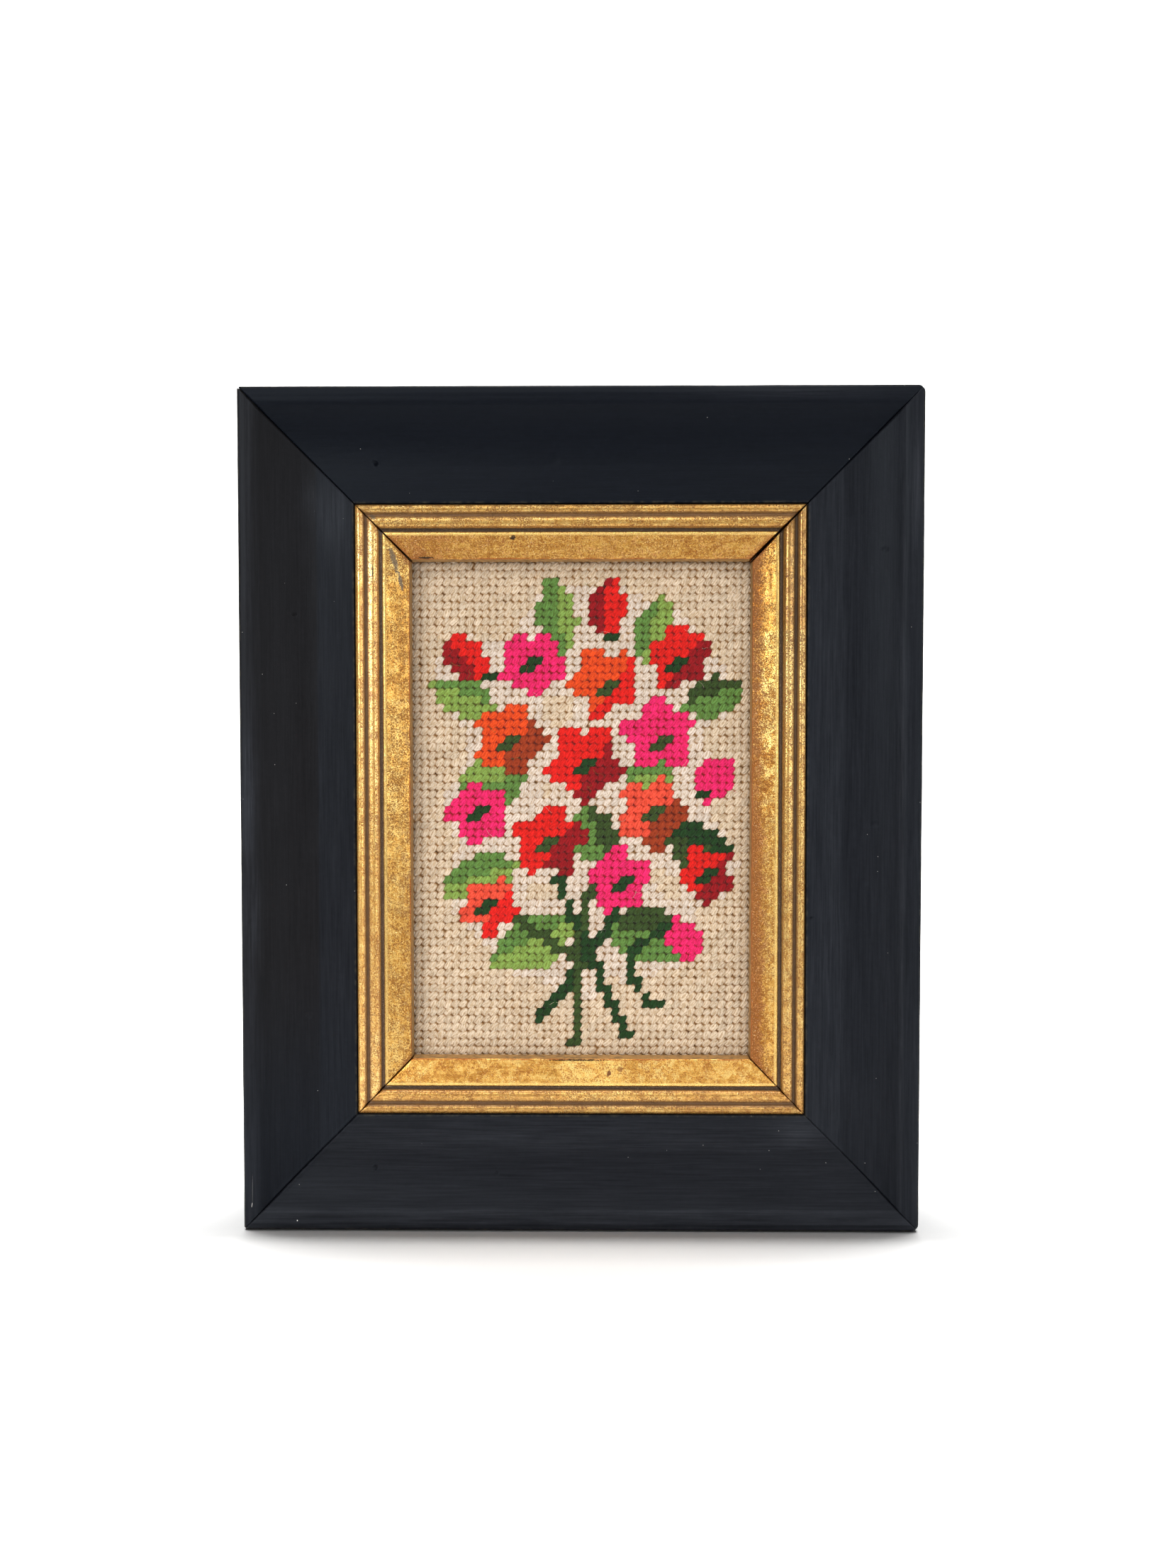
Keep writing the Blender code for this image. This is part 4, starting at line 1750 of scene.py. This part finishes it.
def leaf_wear_and_light(side, inward, across, up):
    """How worn, how patchy and how bright the leaf is at a place on the liner, its brightness
    partly painted light on each side.
    """
    band = eased_step(*BAND_EDGE, inward)
    to_side = FRAME_WIDTH / 2 - abs(across)
    to_foot_or_top = FRAME_HEIGHT / 2 - abs(up - FRAME_HEIGHT / 2)
    rub = 0.10 * hump(to_side, to_foot_or_top, 0.0022) - 0.05
    islands = 0.05 * band
    tones_and_light = LEAF_TONES_AND_LIGHT[side]
    tone = tones_and_light[0]
    for (low, high), before, after in zip(PART_EDGES, tones_and_light, tones_and_light[1:]):
        tone += (after - before) * eased_step(low, high, inward)
    if side == "right":
        # Rubbed towards the picture, patchy above the middle and darker near the top
        rub += 0.19 * eased_step(10.5, 15.8, inward) * band + 0.03 * band
        rub += 0.05 * band * eased_step(0.135, 0.125, up)
        islands = (0.12 + 0.34 * hump(up, 0.152, 0.022)) * band
        tone -= 0.20 * eased_step(0.165, 0.200, up)
    if side == "left":
        rub += 0.09 * eased_step(11.0, 14.5, inward)
    if side == "bottom":
        # One sheet of leaf near the middle is whole, and dark where the next laps over it
        whole = band * eased_step(-0.0068, -0.0060, across) * eased_step(0.016, 0.011, across)
        islands = 0.18 * (band - whole)
        rub -= 0.16 * band - 0.06 * (band - whole)
        tone += 0.12 * whole - 0.10 * band * hump(across, -0.0095, 0.0022)
    if side == "top":
        rub += 0.10 * band + 0.08 * band * hump(across, -0.052, 0.012)
    return rub, islands, tone, LEAF_POLISH[side]


def weather(piece, side, wear, names):
    """Stores what a kind of wear and painted light gives for every vertex under the names that a
    material reads.
    """
    mesh = piece.data
    labels = mesh.attributes["inward"].data
    places = [(label.value, *vertex.co.xz) for vertex, label in zip(mesh.vertices, labels)]
    states = [wear(side, *place) for place in places]
    for name, values in zip(names, zip(*states)):
        store(mesh, name, values)


# Operators


class NEEDLEPOINT_OT_rails(bpy.types.Operator):
    """Make the four black rails"""

    bl_idname = "needlepoint.rails"
    bl_label = "Black Rails"

    def execute(self, context):
        settings = context.scene.needlepoint_moulding
        materials = [paint_finish(settings), wood_finish(settings)]
        for side in SIDES:
            rail = BlackRail(side, settings).build(f"painted_rail_{side}", materials)
            weather(rail, side, paint_wear_and_light, ("wear", "fade"))
            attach(rail, BODY)
            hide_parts(f"frame_{side}")
        return {"FINISHED"}


class NEEDLEPOINT_OT_liner(bpy.types.Operator):
    """Make the four gilt lengths of the liner"""

    bl_idname = "needlepoint.liner"
    bl_label = "Gilt Liner"

    def execute(self, context):
        settings = context.scene.needlepoint_moulding
        materials = [gilt_finish(settings), wood_finish(settings)]
        for side in SIDES:
            length = GiltLength(side, settings).build(f"gilt_length_{side}", materials)
            weather(length, side, leaf_wear_and_light, ("rub", "islands", "tone", "polish"))
            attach(length, BODY)
            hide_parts(f"liner_{side}")
        return {"FINISHED"}


class NEEDLEPOINT_OT_canvas(bpy.types.Operator):
    """Make the canvas and its stitches, one piece for each yarn"""

    bl_idname = "needlepoint.canvas"
    bl_label = "Canvas and Stitches"

    def execute(self, context):
        working = context.scene.needlepoint_working
        colours = context.scene.needlepoint_wool
        chart = work_chart()
        canvas = self.make_canvas()
        stitches = self.make_stitches(chart, working, colours)
        stitches += self.make_fibres(chart, working)
        for piece in [canvas, *stitches]:
            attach(piece, BODY)
        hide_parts("needlepoint")
        return {"FINISHED"}

    @staticmethod
    def make_canvas():
        """A thin closed sheet whose front dips at every hole of the canvas."""
        columns = COLUMNS + 2 * (HIDDEN + BARE)
        rows = ROWS + 2 * (HIDDEN + BARE)
        bm = bmesh.new()
        sheets = []
        for back in (CANVAS_FRONT, CANVAS_BACK):
            grid = []
            for row in range(rows + 1):
                line = []
                for column in range(columns + 1):
                    across = CANVAS_LOW.x + CANVAS_WIDTH * column / columns
                    up = CANVAS_LOW.z + CANVAS_HEIGHT * row / rows
                    dip = HOLE_DEPTH if back == CANVAS_FRONT and (row + column) % 2 else 0.0
                    line.append(bm.verts.new((across, back + dip, up)))
                grid.append(line)
            sheets.append(grid)
        for grid in sheets:
            for lower, upper in zip(grid, grid[1:]):
                for index in range(columns):
                    near, after = lower[index : index + 2]
                    over, beyond = upper[index : index + 2]
                    bm.faces.new((near, after, beyond, over))
        front, back = (edge_of(grid) for grid in sheets)
        for index in range(len(front)):
            after = (index + 1) % len(front)
            bm.faces.new((front[index], front[after], back[after], back[index]))
        mesh = mesh_of("canvas", bm)
        mesh.materials.append(canvas_finish())
        return thing_of("canvas", mesh)

    @staticmethod
    def make_stitches(chart, working, colours):
        """A piece of stitches for each yarn, and two for the ground, which has the most."""
        forms = [stitch_form(f"stitch_{i}", working, i) for i in range(len(STITCH_TWISTS))]
        groups = {}
        for row in range(-HIDDEN, ROWS + HIDDEN):
            for column in range(-HIDDEN, COLUMNS + HIDDEN):
                inside = 0 <= row < ROWS and 0 <= column < COLUMNS
                yarn = chart[row][column] if inside else "cream"
                half = "_lower" if row >= ROWS / 2 else "_upper"
                name = f"stitches_{yarn}{half if yarn == 'cream' else ''}"
                groups.setdefault(name, (yarn, []))[1].append((column, row))
        setter = Setter(forms, working.turn_spread, working.size_spread, working.shade_spread)
        finishes = {}
        pieces = []
        rng = random.Random(working.seed)
        for index, (name, (yarn, places)) in enumerate(sorted(groups.items())):
            if yarn not in finishes:
                finishes[yarn] = wool_finish(yarn, tuple(getattr(colours, yarn)))
            points = []
            for column, row in places:
                stray = Vector([rng.gauss(0, spread) for spread in STITCH_STRAY]) * MM
                points.append(stitch_place(column, row) + stray)
            pieces.append(setter.place(name, points, finishes[yarn], working.seed + 10 * index))
        setter.clear()
        return pieces

    @staticmethod
    def make_fibres(chart, working):
        """Stray fibres over the work, each in the yarn of a stitch near it."""
        rng = random.Random(working.seed + 1)
        forms = [fibre_form(f"fibre_{index}", index) for index in range(FIBRE_FORMS)]
        setter = Setter(forms, math.pi, FIBRE_SIZE_SPREAD, FIBRE_SHADE_SPREAD)
        groups = {}
        for _ in range(working.fibres):
            column = rng.uniform(0.5, COLUMNS - 1.5)
            row = rng.uniform(0.5, ROWS - 1.5)
            near_column = round(column + rng.gauss(0, FIBRE_STRAY))
            near_row = round(row + rng.gauss(0, FIBRE_STRAY))
            line = chart[min(ROWS - 1, max(0, near_row))]
            yarn = line[min(COLUMNS - 1, max(0, near_column))]
            yarn = yarn if yarn in FIBRE_YARNS else "leaf"
            groups.setdefault(yarn, []).append(stitch_place(column, row, CREST_BACK))
        pieces = []
        for yarn, places in sorted(groups.items()):
            finish = bpy.data.materials[f"wool_{yarn}"]
            pieces.append(setter.place(f"stray_fibres_{yarn}", places, finish, working.seed))
        setter.clear()
        return pieces


def edge_of(grid):
    """The vertices round the edge of a grid, in order."""
    bottom = grid[0]
    right = [line[-1] for line in grid[1:]]
    top = list(reversed(grid[-1][:-1]))
    left = [line[0] for line in reversed(grid[1:-1])]
    return bottom + right + top + left


class NEEDLEPOINT_OT_backing(bpy.types.Operator):
    """Finish the backing board"""

    bl_idname = "needlepoint.backing"
    bl_label = "Backing"

    def execute(self, context):
        finish = board_finish()
        for material_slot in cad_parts["backing_board"].material_slots:
            material_slot.material = finish
        return {"FINISHED"}


# Stage: the white sheet's half width, where it starts in front, where it stands behind, its
# height, and the radius and steps of the sweep between floor and back
SHEET_HALF_WIDTH = 3.0
SHEET_NEAR = -3.0
SHEET_FAR = 0.95
SHEET_HEIGHT = 2.4
SWEEP = 0.35
SWEEP_STEPS = 12

# Lamps that light the sheet alone
SHEET_LAMPS = (
    # name, setting of its strength, place, aim, width, height, beam in degrees
    ("overhead", "overhead", (0.0, 0.012, 1.30), (0.0, 0.012, 0.0), 0.05, 0.03, 46),
    ("softener", "softener", (0.0, 0.040, 1.30), (0.0, 0.040, 0.0), 0.08, 0.08, 46),
    ("left_flank", "flank", (-0.45, 0.06, 1.20), (0.0, 0.06, 0.0), 0.25, 0.16, 90),
    ("right_flank", "flank", (0.45, 0.06, 1.20), (0.0, 0.06, 0.0), 0.25, 0.16, 90),
    ("behind", "backdrop", (0.0, 0.42, 1.70), (0.0, 0.85, 0.25), 1.8, 0.5, 100),
)

# Lamps that light the frame alone, aimed at its middle with a full beam
FRAME_LAMPS = (
    # name, which is also the setting of its strength, place, width, height
    ("ceiling", (0.0, -0.20, 1.35), 0.9, 0.5),
    ("front", (0.0, -0.95, 0.95), 0.9, 0.4),
    ("level", (0.0, -1.05, 0.27), 0.35, 0.16),
    ("window", (-0.65, -1.00, 0.45), 0.5, 0.6),
    ("side", (1.10, -0.45, 0.40), 0.4, 0.8),
    ("fill", (0.62, -1.05, 0.25), 0.5, 0.5),
)
FRAME_MIDDLE = (0.0, 0.0, 0.13)
FULL_BEAM = 180

# Camera: its place, degrees that it looks down and to the left, and its lens and sensor
CAMERA_PLACE = (0.0055, -0.3712, 0.1524)
CAMERA_FALL = 1.70
CAMERA_TURN = 0.50
LENS = 25.99
SENSOR_WIDTH = 36.0
CLIP_START = 0.01


class NEEDLEPOINT_OT_stage(bpy.types.Operator):
    """Make the floor, the backdrop, the lights and the camera"""

    bl_idname = "needlepoint.stage"
    bl_label = "Stage"

    def execute(self, context):
        backdrop = self.make_backdrop()
        self.make_lights(context.scene.needlepoint_stage, backdrop)
        self.make_room(context.scene)
        self.make_camera(context.scene)
        context.scene.view_settings.view_transform = "Standard"
        context.scene.view_settings.look = "None"
        return {"FINISHED"}

    @staticmethod
    def make_backdrop():
        """A white sheet that runs along the floor and up behind the frame."""
        path = [(SHEET_NEAR, 0.0), (SHEET_FAR - SWEEP, 0.0)]
        for step in range(1, SWEEP_STEPS + 1):
            angle = math.radians(90) * step / SWEEP_STEPS
            back = SHEET_FAR - SWEEP + SWEEP * math.sin(angle)
            path.append((back, SWEEP - SWEEP * math.cos(angle)))
        path.append((SHEET_FAR, SHEET_HEIGHT))
        vertices = []
        for back, up in path:
            vertices += [(-SHEET_HALF_WIDTH, back, up), (SHEET_HALF_WIDTH, back, up)]
        faces = [(2 * i, 2 * i + 1, 2 * i + 3, 2 * i + 2) for i in range(len(path) - 1)]
        mesh = bpy.data.meshes.new("backdrop")
        mesh.from_pydata(vertices, [], faces)
        mesh.materials.append(sheet_finish())
        mesh.shade_smooth()
        sheet = linked("backdrop", mesh)
        sheet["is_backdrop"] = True
        return sheet

    def make_lights(self, settings, backdrop):
        """Lamps that whiten the sheet and cast the frame's shadow, and lamps for the frame."""
        frame_alone = self.receivers("frame_alone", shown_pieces())
        sheet_alone = self.receivers("sheet_alone", [backdrop])
        for name, setting, place, aim, width, height, beam in SHEET_LAMPS:
            lamp = self.lamp(name, place, aim, width, height, beam)
            lamp.data.energy = getattr(settings, setting)
            lamp.light_linking.receiver_collection = sheet_alone
        for name, place, width, height in FRAME_LAMPS:
            lamp = self.lamp(name, place, FRAME_MIDDLE, width, height, FULL_BEAM)
            lamp.data.energy = getattr(settings, name)
            lamp.light_linking.receiver_collection = frame_alone

    @staticmethod
    def receivers(name, things):
        """A collection of what a lamp lights."""
        collection = bpy.data.collections.new(name)
        for thing in things:
            collection.objects.link(thing)
        return collection

    @staticmethod
    def lamp(name, place, aim, width, height, beam):
        """A flat lamp turned towards its aim."""
        data = bpy.data.lights.new(name, "AREA")
        data.shape = "RECTANGLE"
        data.size = width
        data.size_y = height
        data.spread = math.radians(beam)
        lamp = linked(name, data)
        lamp.location = place
        lamp.rotation_euler = (Vector(aim) - Vector(place)).to_track_quat("-Z", "Y").to_euler()
        return lamp

    @staticmethod
    def make_room(scene):
        """Weak even light from all round."""
        world = bpy.data.worlds.new("room")
        world.use_nodes = True
        background = world.node_tree.nodes["Background"]
        background.inputs["Color"].default_value = (1.0, 1.0, 1.0, 1.0)
        background.inputs["Strength"].default_value = scene.needlepoint_stage.surround
        scene.world = world

    @staticmethod
    def make_camera(scene):
        """The photograph's view: a phone held a forearm's length in front of the frame."""
        data = bpy.data.cameras.new("camera")
        data.sensor_width = SENSOR_WIDTH
        data.lens = LENS
        data.clip_start = CLIP_START
        camera = linked("camera", data)
        camera.location = CAMERA_PLACE
        down = math.radians(90 - CAMERA_FALL)
        camera.rotation_euler = (down, 0.0, math.radians(CAMERA_TURN))
        scene.camera = camera


OPERATORS = (
    NEEDLEPOINT_OT_rails,
    NEEDLEPOINT_OT_liner,
    NEEDLEPOINT_OT_canvas,
    NEEDLEPOINT_OT_backing,
    NEEDLEPOINT_OT_stage,
)


GROUPS = {
    "needlepoint_moulding": MouldingSettings,
    "needlepoint_working": WorkingSettings,
    "needlepoint_wool": WoolColours,
    "needlepoint_stage": StageSettings,
}


class NEEDLEPOINT_PT_panel(bpy.types.Panel):
    """Steps and settings of the framed needlepoint."""

    bl_label = "Needlepoint"
    bl_idname = "NEEDLEPOINT_PT_panel"
    bl_space_type = "VIEW_3D"
    bl_region_type = "UI"
    bl_category = "Needlepoint"

    def draw(self, context):
        for operator in OPERATORS:
            self.layout.operator(operator.bl_idname)
        for name in GROUPS:
            group = getattr(context.scene, name)
            box = self.layout.box()
            for prop in group.bl_rna.properties:
                if prop.identifier not in ("rna_type", "name"):
                    box.prop(group, prop.identifier)


def register():
    for name, group in GROUPS.items():
        bpy.utils.register_class(group)
        setattr(bpy.types.Scene, name, PointerProperty(type=group))
    for operator in OPERATORS:
        bpy.utils.register_class(operator)
    bpy.utils.register_class(NEEDLEPOINT_PT_panel)


def unregister():
    bpy.utils.unregister_class(NEEDLEPOINT_PT_panel)
    for operator in reversed(OPERATORS):
        bpy.utils.unregister_class(operator)
    for name, group in reversed(GROUPS.items()):
        delattr(bpy.types.Scene, name)
        bpy.utils.unregister_class(group)


def main():
    register()
    bpy.ops.needlepoint.rails()
    bpy.ops.needlepoint.liner()
    bpy.ops.needlepoint.canvas()
    bpy.ops.needlepoint.backing()
    bpy.ops.needlepoint.stage()


if __name__ == "__main__":
    main()
